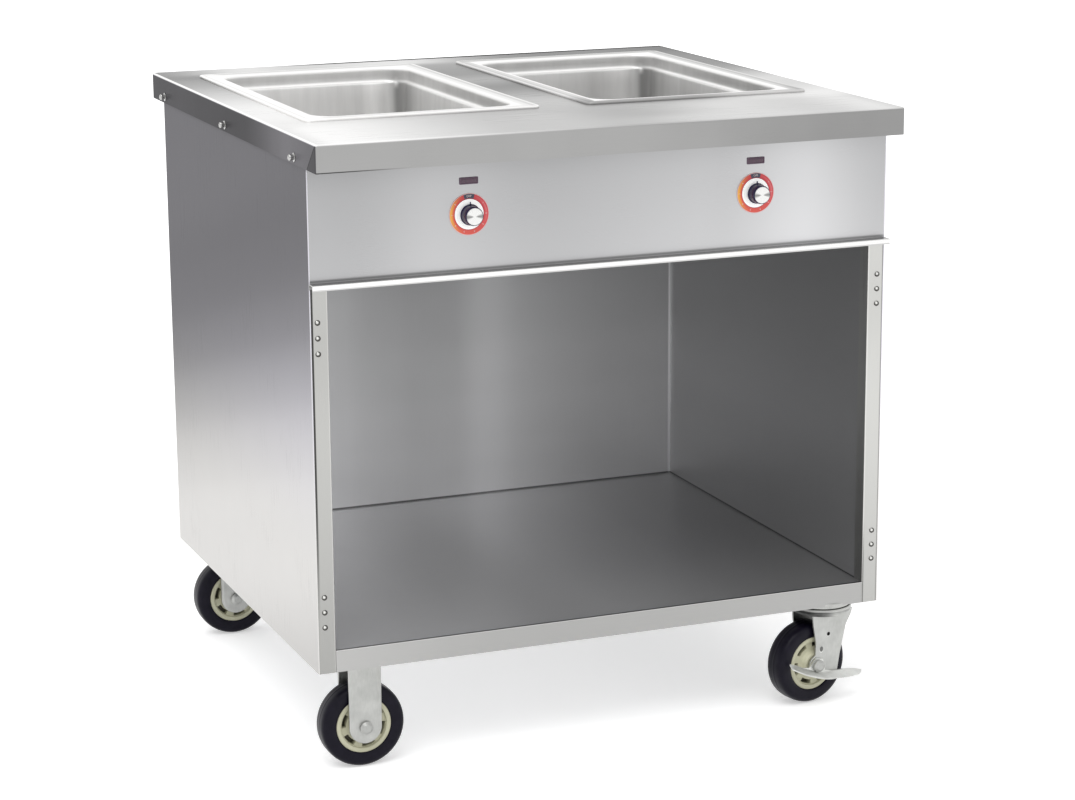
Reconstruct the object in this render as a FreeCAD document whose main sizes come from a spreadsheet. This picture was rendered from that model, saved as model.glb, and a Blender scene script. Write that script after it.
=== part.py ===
"""A mobile hot-food serving table: a worktop with two heated wells over an open storage bay.

The frame stands on the floor at z = 0 with +Z up. The control panel and the open bay face -Y, and the
origin lies under the middle of the worktop. Lengths are in millimetres, angles in degrees.
"""
import FreeCAD
import Part
import Sketcher
import math
import os
import re

SIZES = {
    # worktop
    "top_width": 890,
    "top_depth": 860,
    "deck_height": 914,
    "apron_height": 40,
    "deck_sheet": 2,
    "deck_bend": 3,
    "front_overhang": 50,
    "rear_overhang": 60,
    # sheet-metal body
    "panel_sheet": 1.5,
    "bend": 1.2,
    "skirt_drop": 8,
    "shelf_rise": 32,
    "fold": 15,
    "post_width": 26,
    "post_depth": 25,
    "rear_post": 25,
    "liner_back_gap": 48,
    "ledge_reach": 17,
    "ledge_height": 8,
    # heated wells
    "well_spacing": 430,
    "well_rear": 89,
    "rim_border": 26,
    "rim_rise": 4,
    "rim_edge": 2,
    "rim_corner": 10,
    "mouth_width": 305,
    "mouth_depth": 510,
    "mouth_corner": 38,
    "throat_depth": 20,
    "throat_step": 5,
    "well_depth": 160,
    "well_taper": 5,
    "well_sheet": 1.5,
    "floor_bend": 12,
    "deck_cut_gap": 1,
    # heater box under each well
    "jacket_sheet": 1,
    "insulation_wall": 12,
    "insulation_floor": 24,
    "insulation_gap": 1,
    "element_radius": 4,
    "element_gap": 0.3,
    "element_clearance": 8.2,
    "element_pitch": 60,
    "element_reach": 180,
    "element_lead": 25,
    # controls
    "control_spacing": 440,
    "control_shift": 11,
    "dial_drop": 118,
    "dial_radius": 29.5,
    "dial_sheet": 0.8,
    "bushing_radius": 5,
    "bushing_nut_radius": 8,
    "bushing_nut": 3,
    "hole_gap": 0.2,
    "running_gap": 0.05,
    "shaft_radius": 3,
    "shaft_grip": 13,
    "neck_root": 1,
    "switch_width": 44,
    "switch_height": 40,
    "switch_depth": 32,
    "knob_radius": 13.5,
    "knob_flare": 1.5,
    "knob_gap": 1.2,
    "knob_length": 18,
    "knob_bend": 1.2,
    "cap_rim": 1.5,
    "cap_recess": 1,
    "cap_sheet": 1.4,
    "pointer_reach": 18.5,
    "pointer_width": 2.4,
    "pointer_tip": 1.2,
    "pointer_sheet": 1.6,
    "lamp_drop": 71,
    "lamp_width": 28,
    "lamp_rise": 10,
    "lamp_lip": 1.2,
    "lamp_flange": 1,
    "lamp_depth": 24,
    # studs, rivets and gland
    "pin_radius": 4.5,
    "pin_reach": 9,
    "pin_washer_radius": 7.5,
    "pin_washer": 1.2,
    "pin_lead": 1,
    "pin_rise": 10,
    "pin_rear_inset": 76,
    "pin_front_inset": 96,
    "rivet_radius": 2,
    "rivet_head_radius": 4,
    "rivet_head": 2.2,
    "rivet_brim": 0.8,
    "rivet_shoulder": 1.9,
    "rivet_crown": 2.8,
    "rivet_tail": 2,
    "rivet_inset": 11,
    "rivet_pitch": 22,
    "upper_rivets": 69,
    "lower_rivets": 90,
    "gland_radius": 10,
    "gland_bore": 5,
    "gland_flange": 14,
    "gland_collar": 6,
    "gland_cone": 3,
    "gland_tip": 2,
    "gland_reach": 18,
    "gland_nut": 5,
    "gland_edge": 141.5,
    "gland_drop": 114,
    # castors
    "castor_edge": 71.5,
    "castor_inset": 42,
    "castor_turn": 11,
    "castor_trail": 28,
    "wheel_radius": 62.5,
    "wheel_clearance": 15,
    "tread_width": 38,
    "tread_bend": 8,
    "hub_radius": 41,
    "hub_width": 35,
    "hub_rim": 6.5,
    "hub_recess": 3,
    "hub_boss": 19,
    "hub_boss_width": 42,
    "window_margin": 2.5,
    "window_width": 5.5,
    "window_angle": 36,
    "window_count": 6,
    "hub_side_gap": 2,
    "fork_sheet": 4,
    "fork_leg": 49,
    "axle_radius": 6,
    "axle_head_radius": 9.5,
    "axle_head": 7,
    "axle_brim": 4.2,
    "axle_crown": 5.7,
    "bushing_wall": 2.5,
    "plate_length": 92,
    "plate_width": 76,
    "plate_sheet": 4,
    "channel_sheet": 2.5,
    "bolt_radius": 4,
    "bolt_head_radius": 6.5,
    "bolt_head": 5,
    "bolt_gap": 0.5,
    "bolt_edge": 8,
    "race_radius": 34,
    "race_wall": 20,
    "race_height": 10,
    "ball_gap": 0.3,
    "ball_radius": 2.7,
    "ball_circle": 25,
    "ball_count": 16,
    "crown_radius": 46,
    "crown_sheet": 4,
    "crown_wall": 4,
    "crown_rim": 7,
    "kingpin_radius": 6,
    "kingpin_nut_radius": 11,
    "kingpin_nut": 8,
    "leg_tip": 13,
    "leg_heel": 40,
    "leg_heel_drop": 16,
    "leg_waist": 45,
    "leg_waist_rise": 10,
    "leg_knee": 56,
    "leg_knee_rise": 45,
    "leg_root_ahead": 36,
    "leg_root_behind": 35,
    "leg_nape": 6,
    "leg_nape_rise": 61,
    "leg_back": 1,
    "leg_back_rise": 34,
    "leg_boss_rise": 15,
    "vent_radius": 3,
    "vent_upper_reach": 22,
    "vent_upper_rise": 45.5,
    "vent_lower_reach": 9,
    "vent_lower_rise": 23.5,
    # brake pedal
    "pedal_sheet": 3,
    "pedal_front": 88,
    "pedal_back": 52,
    "pedal_drop": 13,
    "pedal_web": 24,
    "pedal_brow": 8,
    "pedal_foot": 24,
    "foot_back": 16,
    "foot_front": 46,
    "foot_nose": 5,
    "pedal_eye": 8,
    "pedal_shoulder": 15,
    "pedal_tilt": 15,
}

doc = FreeCAD.newDocument("HotFoodTable")
sheet = doc.addObject("Spreadsheet::Sheet", "Sizes")
for row, (alias, size) in enumerate(SIZES.items(), start=1):
    sheet.set(f"A{row}", alias)
    sheet.set(f"B{row}", str(size))
    sheet.setAlias(f"B{row}", alias)
doc.recompute()

nodes = []
NEAR = 1e-4
QUARTER_TURN = math.pi / 2


# --- How rules over the sheet become shapes -----------------------------------------------------------

def bound(rule):
    """Turn each size named in a rule into a reference to its cell."""
    return re.sub(r"[a-z]\w*", lambda word: f"Sizes.{word[0]}" if word[0] in SIZES else word[0], str(rule))


def number(rule):
    """What a rule comes to with the sheet as it stands."""
    return float(sheet.evalExpression(bound(rule)))


def close(value, rule):
    """Whether a coordinate lies where a rule says."""
    return abs(value - number(rule)) < NEAR


def end_points(a, b, test):
    """Whether a test holds at both ends of an edge."""
    return test(a) and test(b)


def spread(side, inner, outer):
    """The two ends of a span from inner to outer on the right (+1) or the left (-1) of the middle."""
    if side > 0:
        return f"{inner}", f"{outer}"
    return f"-({outer})", f"-({inner})"


def block(name, x, y, z):
    """A box between two rules on each axis."""
    solid = doc.addObject("Part::Box", name)
    for edge, (start, end) in zip(("Length", "Width", "Height"), (x, y, z)):
        solid.setExpression(edge, bound(f"({end}) - ({start})"))
    for axis, (start, _) in zip("xyz", (x, y, z)):
        solid.setExpression(f"Placement.Base.{axis}", bound(start))
    return solid


TURN_TO = {
    "x": FreeCAD.Rotation(FreeCAD.Vector(0, 1, 0), 90),
    "y": FreeCAD.Rotation(FreeCAD.Vector(1, 0, 0), -90),
    "z": FreeCAD.Rotation(),
}


def rod(name, along, centre, radius, start, end, sides=0):
    """A round rod, or a prism with so many sides, along one axis through a centre given on the others."""
    solid = doc.addObject("Part::Prism" if sides else "Part::Cylinder", name)
    if sides:
        solid.Polygon = sides
        solid.setExpression("Circumradius", bound(radius))
    else:
        solid.setExpression("Radius", bound(radius))
    solid.setExpression("Height", bound(f"({end}) - ({start})"))
    solid.Placement = FreeCAD.Placement(FreeCAD.Vector(), TURN_TO[along])
    places = dict(zip([axis for axis in "xyz" if axis != along], centre))
    places[along] = start
    for axis in "xyz":
        solid.setExpression(f"Placement.Base.{axis}", bound(places[axis]))
    return solid


def fused(name, pieces):
    """Pieces welded or folded into one."""
    joined = doc.addObject("Part::MultiFuse", name)
    joined.Shapes = pieces
    joined.Refine = True
    return joined


def cut(name, base, tools):
    """A piece with tools taken out of it."""
    result = doc.addObject("Part::Cut", name)
    result.Base = base
    result.Tool = tools[0] if len(tools) == 1 else fused(name + "_tools", tools)
    result.Refine = True
    return result


def rounded(name, base, radius, chosen):
    """A piece with a radius on the straight edges that a test on two end points picks."""
    doc.recompute()
    size = number(radius)
    picked = [
        (index, size, size)
        for index, edge in enumerate(base.Shape.Edges, start=1)
        if len(edge.Vertexes) == 2 and chosen(edge.Vertexes[0].Point, edge.Vertexes[1].Point)
    ]
    result = doc.addObject("Part::Fillet", name)
    result.Base = base
    result.Edges = picked
    return result


def group(name, pieces):
    """Separate solids that share a node."""
    result = doc.addObject("Part::Compound", name)
    result.Links = pieces
    return result


def node(solid, label):
    """Keep a solid as a piece of the table, under its own name."""
    solid.Label = label
    nodes.append(solid)
    return solid


def new_body(name, place=("0", "0", "0"), turn=None, axis=(0, 0, 1)):
    """A body at a place, turned about an axis by an angle or a rule."""
    body = doc.addObject("PartDesign::Body", name)
    body.AllowCompound = True
    if turn is not None:
        body.Placement = FreeCAD.Placement(FreeCAD.Vector(), FreeCAD.Rotation(FreeCAD.Vector(*axis), 1))
        body.setExpression("Placement.Rotation.Angle", bound(turn))
    for letter, rule in zip("xyz", place):
        body.setExpression(f"Placement.Base.{letter}", bound(rule))
    return body


def sketch_on(body, plane, lift="0"):
    """An empty sketch on one of the body's own planes, lifted along the plane's normal."""
    drawing = body.newObject("Sketcher::SketchObject", body.Name + "_sketch")
    support = next(part for part in body.Origin.OriginFeatures if part.Role == plane)
    drawing.AttachmentSupport = [(support, "")]
    drawing.MapMode = "FlatFace"
    drawing.setExpression("AttachmentOffset.Base.z", bound(lift))
    return drawing


def hold(drawing, kind, rule, *where):
    """A sketch dimension driven by a rule."""
    index = drawing.addConstraint(Sketcher.Constraint(kind, *where, number(rule)))
    drawing.setExpression(f"Constraints[{index}]", bound(rule))


def outline(drawing, corners):
    """A closed outline of straight lines with each corner held at its own two rules."""
    spots = [FreeCAD.Vector(number(x), number(y), 0) for x, y in corners]
    first = drawing.GeometryCount
    count = len(corners)
    for index in range(count):
        drawing.addGeometry(Part.LineSegment(spots[index], spots[(index + 1) % count]), False)
    for index in range(count):
        after = (index + 1) % count
        drawing.addConstraint(Sketcher.Constraint("Coincident", first + index, 2, first + after, 1))
    for index, (x, y) in enumerate(corners):
        hold(drawing, "DistanceX", x, -1, 1, first + index, 1)
        hold(drawing, "DistanceY", y, -1, 1, first + index, 1)
    return drawing


def circle(drawing, x, y, radius):
    """A circle held by its centre and radius."""
    middle = FreeCAD.Vector(number(x), number(y), 0)
    index = drawing.addGeometry(Part.Circle(middle, FreeCAD.Vector(0, 0, 1), number(radius)), False)
    hold(drawing, "DistanceX", x, -1, 1, index, 3)
    hold(drawing, "DistanceY", y, -1, 1, index, 3)
    hold(drawing, "Radius", radius, index)
    return drawing


def rounded_rectangle(drawing, width, depth, corner):
    """A rectangle about the sketch's origin with a radius on each corner."""
    radius = number(corner)
    reach_x = number(width) / 2 - radius
    reach_y = number(depth) / 2 - radius
    arcs = []
    for quarter, (sign_x, sign_y) in enumerate(((1, 1), (-1, 1), (-1, -1), (1, -1))):
        middle = FreeCAD.Vector(sign_x * reach_x, sign_y * reach_y, 0)
        ring = Part.Circle(middle, FreeCAD.Vector(0, 0, 1), radius)
        bend = Part.ArcOfCircle(ring, quarter * QUARTER_TURN, (quarter + 1) * QUARTER_TURN)
        arcs.append(drawing.addGeometry(bend, False))
    lines = []
    for index in range(4):
        start = drawing.getPoint(arcs[index], 2)
        end = drawing.getPoint(arcs[(index + 1) % 4], 1)
        lines.append(drawing.addGeometry(Part.LineSegment(start, end), False))
    for index in range(4):
        drawing.addConstraint(Sketcher.Constraint("Tangent", arcs[index], 2, lines[index], 1))
        drawing.addConstraint(Sketcher.Constraint("Tangent", lines[index], 2, arcs[(index + 1) % 4], 1))
    for index in (0, 2):
        drawing.addConstraint(Sketcher.Constraint("Horizontal", lines[index]))
        drawing.addConstraint(Sketcher.Constraint("Vertical", lines[index + 1]))
    for index in range(1, 4):
        drawing.addConstraint(Sketcher.Constraint("Equal", arcs[0], arcs[index]))
    hold(drawing, "Radius", corner, arcs[0])
    hold(drawing, "DistanceX", f"({width}) / 2 - ({corner})", -1, 1, arcs[0], 3)
    hold(drawing, "DistanceY", f"({depth}) / 2 - ({corner})", -1, 1, arcs[0], 3)
    drawing.addConstraint(Sketcher.Constraint("Symmetric", arcs[0], 3, arcs[2], 3, -1, 1))
    return drawing


def pad(body, drawing, length):
    """Material from a sketch along its plane's normal."""
    feature = body.newObject("PartDesign::Pad", body.Name + "_pad")
    feature.Profile = drawing
    feature.setExpression("Length", bound(length))
    return feature


def pocket(body, drawing, length):
    """A hole from a sketch against its plane's normal, which has to remove something."""
    doc.recompute()
    before = body.Shape.Volume
    feature = body.newObject("PartDesign::Pocket", body.Name + "_pocket")
    feature.Profile = drawing
    feature.setExpression("Length", bound(length))
    doc.recompute()
    if body.Shape.Volume >= before:
        raise RuntimeError(f"{feature.Name} removes nothing")
    return feature


def turned(name, profile, **where):
    """A body turned about its own Z axis from a profile of (radius, height) corners."""
    body = new_body(name, **where)
    turn(body, profile)
    return body


def turn(body, profile):
    """Add a turned shape to a body."""
    feature = body.newObject("PartDesign::Revolution", body.Name + "_turn")
    feature.Profile = outline(sketch_on(body, "XZ_Plane"), profile)
    feature.ReferenceAxis = (feature.Profile[0], ["V_Axis"])
    feature.Angle = 360
    return feature


def soften(body, radius, chosen):
    """Round the edges of a body that a test on the edge picks."""
    doc.recompute()
    base = body.Tip
    picked = [f"Edge{index}" for index, edge in enumerate(base.Shape.Edges, start=1) if chosen(edge)]
    feature = body.newObject("PartDesign::Fillet", body.Name + "_fillet")
    feature.Base = (base, picked)
    feature.setExpression("Radius", bound(radius))
    return feature


# --- Places that several pieces share, as rules over the sheet ----------------------------------------

BODY_FRONT = "(front_overhang - top_depth / 2)"
BODY_BACK = "(top_depth / 2 - rear_overhang)"
SIDE_OUT = "(top_width / 2 - deck_sheet)"
SIDE_IN = f"({SIDE_OUT} - panel_sheet)"
BACK_IN = f"({BODY_BACK} - panel_sheet)"
DECK_UNDER = "(deck_height - deck_sheet)"
APRON_BOTTOM = "(deck_height - apron_height)"
POST_IN = f"({SIDE_OUT} - post_width)"
POST_BACK = f"({BODY_FRONT} + post_depth)"
LINER_BACK = f"({BODY_BACK} - liner_back_gap)"
THROAT_X = "(mouth_width / 2 + well_sheet)"
THROAT_Y = "(mouth_depth / 2 + well_sheet)"
JACKET_X = f"({THROAT_X} + insulation_wall)"
JACKET_Y = f"({THROAT_Y} + insulation_wall)"
WELL_SHIFT = "(top_depth / 2 - well_rear - rim_border - mouth_depth / 2)"
WELL_UNDER = "(deck_height - well_depth - well_sheet)"
ELEMENT_Z = f"({WELL_UNDER} - element_gap - element_radius)"
BLANKET_FLOOR = f"({ELEMENT_Z} - element_radius - element_clearance)"
JACKET_FLOOR = f"({BLANKET_FLOOR} - insulation_floor)"
CEILING_TOP = f"({JACKET_FLOOR} - jacket_sheet)"
CEILING = f"({CEILING_TOP} - panel_sheet)"
PANEL_BOTTOM = f"({CEILING} - panel_sheet)"
CROWN_UNDER = "(2 * wheel_radius + wheel_clearance)"
CROWN_TOP = f"({CROWN_UNDER} + crown_sheet)"
LEG_TOP = f"({CROWN_TOP} + 2 * ball_gap + 2 * ball_radius + race_height)"
CASTOR_TOP = f"({LEG_TOP} + plate_sheet)"
BODY_BOTTOM = f"({CASTOR_TOP} - skirt_drop)"
SHELF_TOP = f"({BODY_BOTTOM} + shelf_rise)"
CHANNEL_TOP = f"({SHELF_TOP} - panel_sheet)"
FORK_GAP = "(hub_boss_width + 2 * hub_side_gap)"
FORK_OUT = f"({FORK_GAP} / 2 + fork_sheet)"
CASTOR_SIDE = f"({SIDE_IN} - castor_edge)"
CASTOR_FRONT = f"({BODY_FRONT} + castor_inset)"
CASTOR_REAR = f"({BODY_BACK} - castor_inset)"
SIDES = (("left", -1), ("right", 1))
ENDS = (("front", CASTOR_FRONT), ("rear", CASTOR_REAR))


def both(half):
    """A span that reaches as far to each side of the middle."""
    return f"-({half})", f"({half})"


def below_deck(drop):
    """A height given as a drop from the worktop's face."""
    return f"(deck_height - {drop})"


# --- Worktop: one pressed sheet with a folded apron and two cut-outs ----------------------------------

def well_cutter(side, label):
    """The opening that a well drops through, a little wider than the well's throat."""
    centre = f"{side} * well_spacing / 2"
    body = new_body(f"well_cut_{label}", (centre, WELL_SHIFT, DECK_UNDER))
    drawing = sketch_on(body, "XY_Plane", "-deck_sheet")
    width = f"2 * ({THROAT_X} + deck_cut_gap)"
    depth = f"2 * ({THROAT_Y} + deck_cut_gap)"
    pad(body, rounded_rectangle(drawing, width, depth, "mouth_corner + well_sheet + deck_cut_gap"),
        "3 * deck_sheet")
    return body


PIN_HEIGHT = f"({APRON_BOTTOM} + pin_rise)"
PIN_SPOTS = {
    "rear": "(top_depth / 2 - pin_rear_inset)",
    "middle": "(pin_front_inset / 2 - pin_rear_inset / 2)",
    "front": "(pin_front_inset - top_depth / 2)",
}


def pin_holes(side, label):
    """The holes in one side of the apron for its three studs."""
    holes = []
    for spot, place_y in PIN_SPOTS.items():
        span = spread(side, f"{SIDE_OUT} - deck_sheet", "top_width / 2 + deck_sheet")
        centre = (place_y, PIN_HEIGHT)
        holes.append(rod(f"pin_hole_{label}_{spot}", "x", centre, "pin_radius + running_gap", *span))
    return holes


deck_blank = block("deck_blank", both("top_width / 2"), both("top_depth / 2"), (APRON_BOTTOM, "deck_height"))
deck_rounded = rounded(
    "deck_rounded", deck_blank, "deck_bend",
    lambda a, b: abs(a.z - b.z) > NEAR or end_points(a, b, lambda point: close(point.z, "deck_height")))
deck_hollow = block(
    "deck_hollow", both(SIDE_OUT), both("top_depth / 2 - deck_sheet"),
    ("deck_height - 2 * apron_height", DECK_UNDER))
deck_tools = [deck_hollow]
for label, side in SIDES:
    deck_tools.append(well_cutter(side, label))
    deck_tools.extend(pin_holes(side, label))
node(cut("top_deck", deck_rounded, deck_tools), "top_deck")


# --- Wells: drawn pans with a raised rim that rests on the worktop ------------------------------------

def well(label, side):
    """A rim on the deck, a straight throat, a step for the food pan and a tapered tank below."""
    body = new_body(f"well_{label}", (f"{side} * well_spacing / 2", WELL_SHIFT, "deck_height"))
    rim = rounded_rectangle(
        sketch_on(body, "XY_Plane"),
        "mouth_width + 2 * rim_border", "mouth_depth + 2 * rim_border", "rim_corner")
    pad(body, rim, "rim_rise")
    soften(body, "rim_edge", lambda edge: all(close(v.Z, "rim_rise") for v in edge.Vertexes))
    throat = rounded_rectangle(
        sketch_on(body, "XY_Plane", "-throat_depth - well_sheet"),
        f"2 * {THROAT_X}", f"2 * {THROAT_Y}", "mouth_corner + well_sheet")
    pad(body, throat, "throat_depth + well_sheet")
    levels = (("throat_depth", "throat_step"), ("well_depth", "throat_step + well_taper"))
    shells = (("Additive", "well_sheet"), ("Subtractive", "0"))
    mouth = rounded_rectangle(
        sketch_on(body, "XY_Plane", "rim_rise"), "mouth_width", "mouth_depth", "mouth_corner")
    for kind, wall in shells:
        rings = []
        for level, inset in levels:
            deeper = f"-({level}) - ({wall})"
            rings.append(rounded_rectangle(
                sketch_on(body, "XY_Plane", deeper),
                f"mouth_width - 2 * ({inset}) + 2 * ({wall})",
                f"mouth_depth - 2 * ({inset}) + 2 * ({wall})",
                f"mouth_corner - ({inset}) + ({wall})"))
        loft = body.newObject(f"PartDesign::{kind}Loft", f"well_{label}_{kind}")
        loft.Profile = rings[0]
        loft.Sections = [rings[1]]
        loft.Ruled = True
    for kind, wall in reversed(shells):
        soften(body, f"floor_bend + ({wall})",
               lambda edge: all(close(v.Z, f"-well_depth - ({wall})") for v in edge.Vertexes))
    pocket(body, mouth, "rim_rise + throat_depth")
    return body


for label, side in SIDES:
    node(well(label, side), f"well_{label}")


# --- Heater boxes: jacket, insulation and a bent tubular element under each well ----------------------

ELEMENT_LEGS = [f"({place} * element_pitch)" for place in (-1.5, -0.5, 0.5, 1.5)]


def element_ends(label, side, kind, gap):
    """Cutters for the two ends of the element where they leave the heater box."""
    span = (f"{WELL_SHIFT} - {JACKET_Y} - 2 * jacket_sheet", f"{WELL_SHIFT} - {THROAT_Y}")
    ends = []
    for index, place in enumerate((ELEMENT_LEGS[0], ELEMENT_LEGS[-1])):
        centre = (f"{side} * well_spacing / 2 + {place}", ELEMENT_Z)
        ends.append(rod(f"{kind}_hole_{label}_{index}", "y", centre, f"element_radius + {gap}", *span))
    return ends


def heater_box(label, side):
    """The steel jacket that stands on the bay's ceiling, and the glass-fibre blanket in it."""
    middle = f"{side} * well_spacing / 2"

    def around(half_x, half_y, bottom, top, name):
        return block(
            name, (f"{middle} - {half_x}", f"{middle} + {half_x}"),
            (f"{WELL_SHIFT} - {half_y}", f"{WELL_SHIFT} + {half_y}"), (bottom, top))

    outside = around(f"({JACKET_X} + jacket_sheet)", f"({JACKET_Y} + jacket_sheet)",
                     CEILING_TOP, DECK_UNDER, f"jacket_outside_{label}")
    inside = around(JACKET_X, JACKET_Y, JACKET_FLOOR, "deck_height", f"jacket_inside_{label}")
    node(cut(f"well_jacket_{label}", outside, [inside] + element_ends(label, side, "jacket", "element_gap")),
         f"well_jacket_{label}")
    blanket = around(JACKET_X, JACKET_Y, JACKET_FLOOR, DECK_UNDER, f"blanket_{label}")
    hollow = around(f"({THROAT_X} + insulation_gap)", f"({THROAT_Y} + insulation_gap)",
                    BLANKET_FLOOR, "deck_height", f"blanket_hollow_{label}")
    node(cut(f"insulation_{label}", blanket, [hollow] + element_ends(label, side, "blanket", "element_gap")),
         f"insulation_{label}")


def heating_element(label, side):
    """One tube bent four legs wide under the well, with both ends out through the front."""
    body = new_body(f"heating_element_{label}", (f"{side} * well_spacing / 2", WELL_SHIFT, ELEMENT_Z))
    front = f"(-{JACKET_Y} - element_lead)"
    near = "(-element_reach)"
    path = sketch_on(body, "XY_Plane")
    turning_points = ((front, "element_reach"), ("element_reach", near), (near, "element_reach"),
                      ("element_reach", front))
    runs = [(x, start, end) for x, (start, end) in zip(ELEMENT_LEGS, turning_points)]
    lines = []
    for x, start, end in runs:
        a = FreeCAD.Vector(number(x), number(start), 0)
        b = FreeCAD.Vector(number(x), number(end), 0)
        line = path.addGeometry(Part.LineSegment(a, b), False)
        for point, y in ((1, start), (2, end)):
            hold(path, "DistanceX", x, -1, 1, line, point)
            hold(path, "DistanceY", y, -1, 1, line, point)
        lines.append(line)
    for index, (y, clockwise) in enumerate((("element_reach", 1), (near, -1), ("element_reach", 1))):
        between = f"({ELEMENT_LEGS[index]} + {ELEMENT_LEGS[index + 1]}) / 2"
        middle = FreeCAD.Vector(number(between), number(y), 0)
        radius = number("element_pitch / 2")
        ring = Part.Circle(middle, FreeCAD.Vector(0, 0, 1), radius)
        ends = (0, 2 * QUARTER_TURN) if clockwise > 0 else (2 * QUARTER_TURN, 4 * QUARTER_TURN)
        bend = path.addGeometry(Part.ArcOfCircle(ring, *ends), False)
        left, right = (2, 1) if clockwise > 0 else (1, 2)
        path.addConstraint(Sketcher.Constraint("Coincident", lines[index], 2, bend, left))
        path.addConstraint(Sketcher.Constraint("Coincident", lines[index + 1], 1, bend, right))
        hold(path, "DistanceY", y, -1, 1, bend, 3)
    section = circle(sketch_on(body, "XZ_Plane", f"-({front})"), ELEMENT_LEGS[0], "0", "element_radius")
    sweep = body.newObject("PartDesign::AdditivePipe", f"heating_element_{label}_pipe")
    sweep.Profile = section
    sweep.Spine = path
    return body


for label, side in SIDES:
    heater_box(label, side)
    node(heating_element(label, side), f"heating_element_{label}")


# --- Control panel: folded sheet across the front, with a ledge along its lower edge ------------------

def control_x(side):
    """Where a dial stands across the front."""
    return f"(control_shift + {side} * control_spacing / 2)"


DIAL_HEIGHT = below_deck("dial_drop")
LAMP_HEIGHT = below_deck("lamp_drop")

panel = fused("panel_folds", [
    block("panel_face", both(SIDE_IN), (BODY_FRONT, f"{BODY_FRONT} + panel_sheet"), (PANEL_BOTTOM, DECK_UNDER)),
    block("panel_top_fold", both(SIDE_IN), (BODY_FRONT, f"{BODY_FRONT} + fold"),
          (f"{DECK_UNDER} - panel_sheet", DECK_UNDER)),
    block("panel_bottom_fold", both(SIDE_IN), (BODY_FRONT, POST_BACK), (PANEL_BOTTOM, CEILING)),
])
panel_tools = []
for label, side in SIDES:
    through = (f"{BODY_FRONT} - fold", f"{BODY_FRONT} + fold")
    panel_tools.append(rod(
        f"switch_hole_{label}", "y", (control_x(side), DIAL_HEIGHT), "bushing_radius + hole_gap", *through))
    half = "(lamp_width / 2 - lamp_flange + hole_gap)"
    rise = "(lamp_rise / 2 - lamp_flange + hole_gap)"
    panel_tools.append(block(
        f"lamp_hole_{label}", (f"{control_x(side)} - {half}", f"{control_x(side)} + {half}"), through,
        (f"{LAMP_HEIGHT} - {rise}", f"{LAMP_HEIGHT} + {rise}")))
node(cut("control_panel", panel, panel_tools), "control_panel")

ledge_front = f"({BODY_FRONT} - ledge_reach)"
ledge_top = f"({PANEL_BOTTOM} + ledge_height)"
ledge_z = (PANEL_BOTTOM, ledge_top)
ledge = fused("ledge_folds", [
    block("ledge_top", both(SIDE_OUT), (ledge_front, BODY_FRONT), (f"{ledge_top} - panel_sheet", ledge_top)),
    block("ledge_lip", both(SIDE_OUT), (ledge_front, f"{ledge_front} + panel_sheet"), ledge_z),
    block("ledge_root", both(SIDE_OUT), (f"{BODY_FRONT} - panel_sheet", BODY_FRONT), ledge_z),
])
node(rounded("front_ledge", ledge, "bend",
             lambda a, b: end_points(a, b, lambda p: close(p.y, ledge_front) and close(p.z, ledge_top))),
     "front_ledge")


# --- Body: side and back panels, posts, liners, shelf, ceiling and castor channels --------------------

for label, side in SIDES:
    panel_x = spread(side, SIDE_IN, SIDE_OUT)
    node(block(f"side_panel_{label}", panel_x, (BODY_FRONT, BODY_BACK), (BODY_BOTTOM, DECK_UNDER)),
         f"side_panel_{label}")

GLAND_X = f"(gland_edge - {SIDE_IN})"
GLAND_HEIGHT = below_deck("gland_drop")
back_sheet = block("back_sheet", both(SIDE_IN), (BACK_IN, BODY_BACK), (BODY_BOTTOM, DECK_UNDER))
gland_hole = rod("gland_hole", "y", (GLAND_X, GLAND_HEIGHT), "gland_radius + hole_gap",
                 f"{BACK_IN} - fold", f"{BODY_BACK} + fold")
node(cut("back_panel", back_sheet, [gland_hole]), "back_panel")

RIVET_X = f"({SIDE_OUT} - rivet_inset)"
RIVET_MIDDLES = (f"{PANEL_BOTTOM} - upper_rivets", f"{BODY_BOTTOM} + lower_rivets")
RIVET_HEIGHTS = [f"({middle} + {step} * rivet_pitch)" for middle in RIVET_MIDDLES for step in (-1, 0, 1)]


def front_post(label, side):
    """A folded channel at each side of the open bay, with the riveted face forward."""
    height = (BODY_BOTTOM, PANEL_BOTTOM)
    folds = fused(f"post_folds_{label}", [
        block(f"post_face_{label}", spread(side, POST_IN, SIDE_IN),
              (BODY_FRONT, f"{BODY_FRONT} + panel_sheet"), height),
        block(f"post_web_{label}", spread(side, f"{SIDE_IN} - panel_sheet", SIDE_IN),
              (BODY_FRONT, POST_BACK), height),
        block(f"post_return_{label}", spread(side, POST_IN, f"{POST_IN} + panel_sheet"),
              (BODY_FRONT, POST_BACK), height),
    ])
    bent = rounded(f"post_bent_{label}", folds, "bend",
                   lambda a, b: abs(a.z - b.z) > NEAR and end_points(a, b, lambda p: close(p.y, BODY_FRONT)))
    through = (f"{BODY_FRONT} - fold", f"{BODY_FRONT} + 2 * panel_sheet")
    holes = []
    for index, rivet_height in enumerate(RIVET_HEIGHTS):
        centre = (f"{side} * {RIVET_X}", rivet_height)
        holes.append(rod(f"rivet_hole_{label}_{index}", "y", centre, "rivet_radius + running_gap", *through))
    return cut(f"front_post_{label}", bent, holes)


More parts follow.
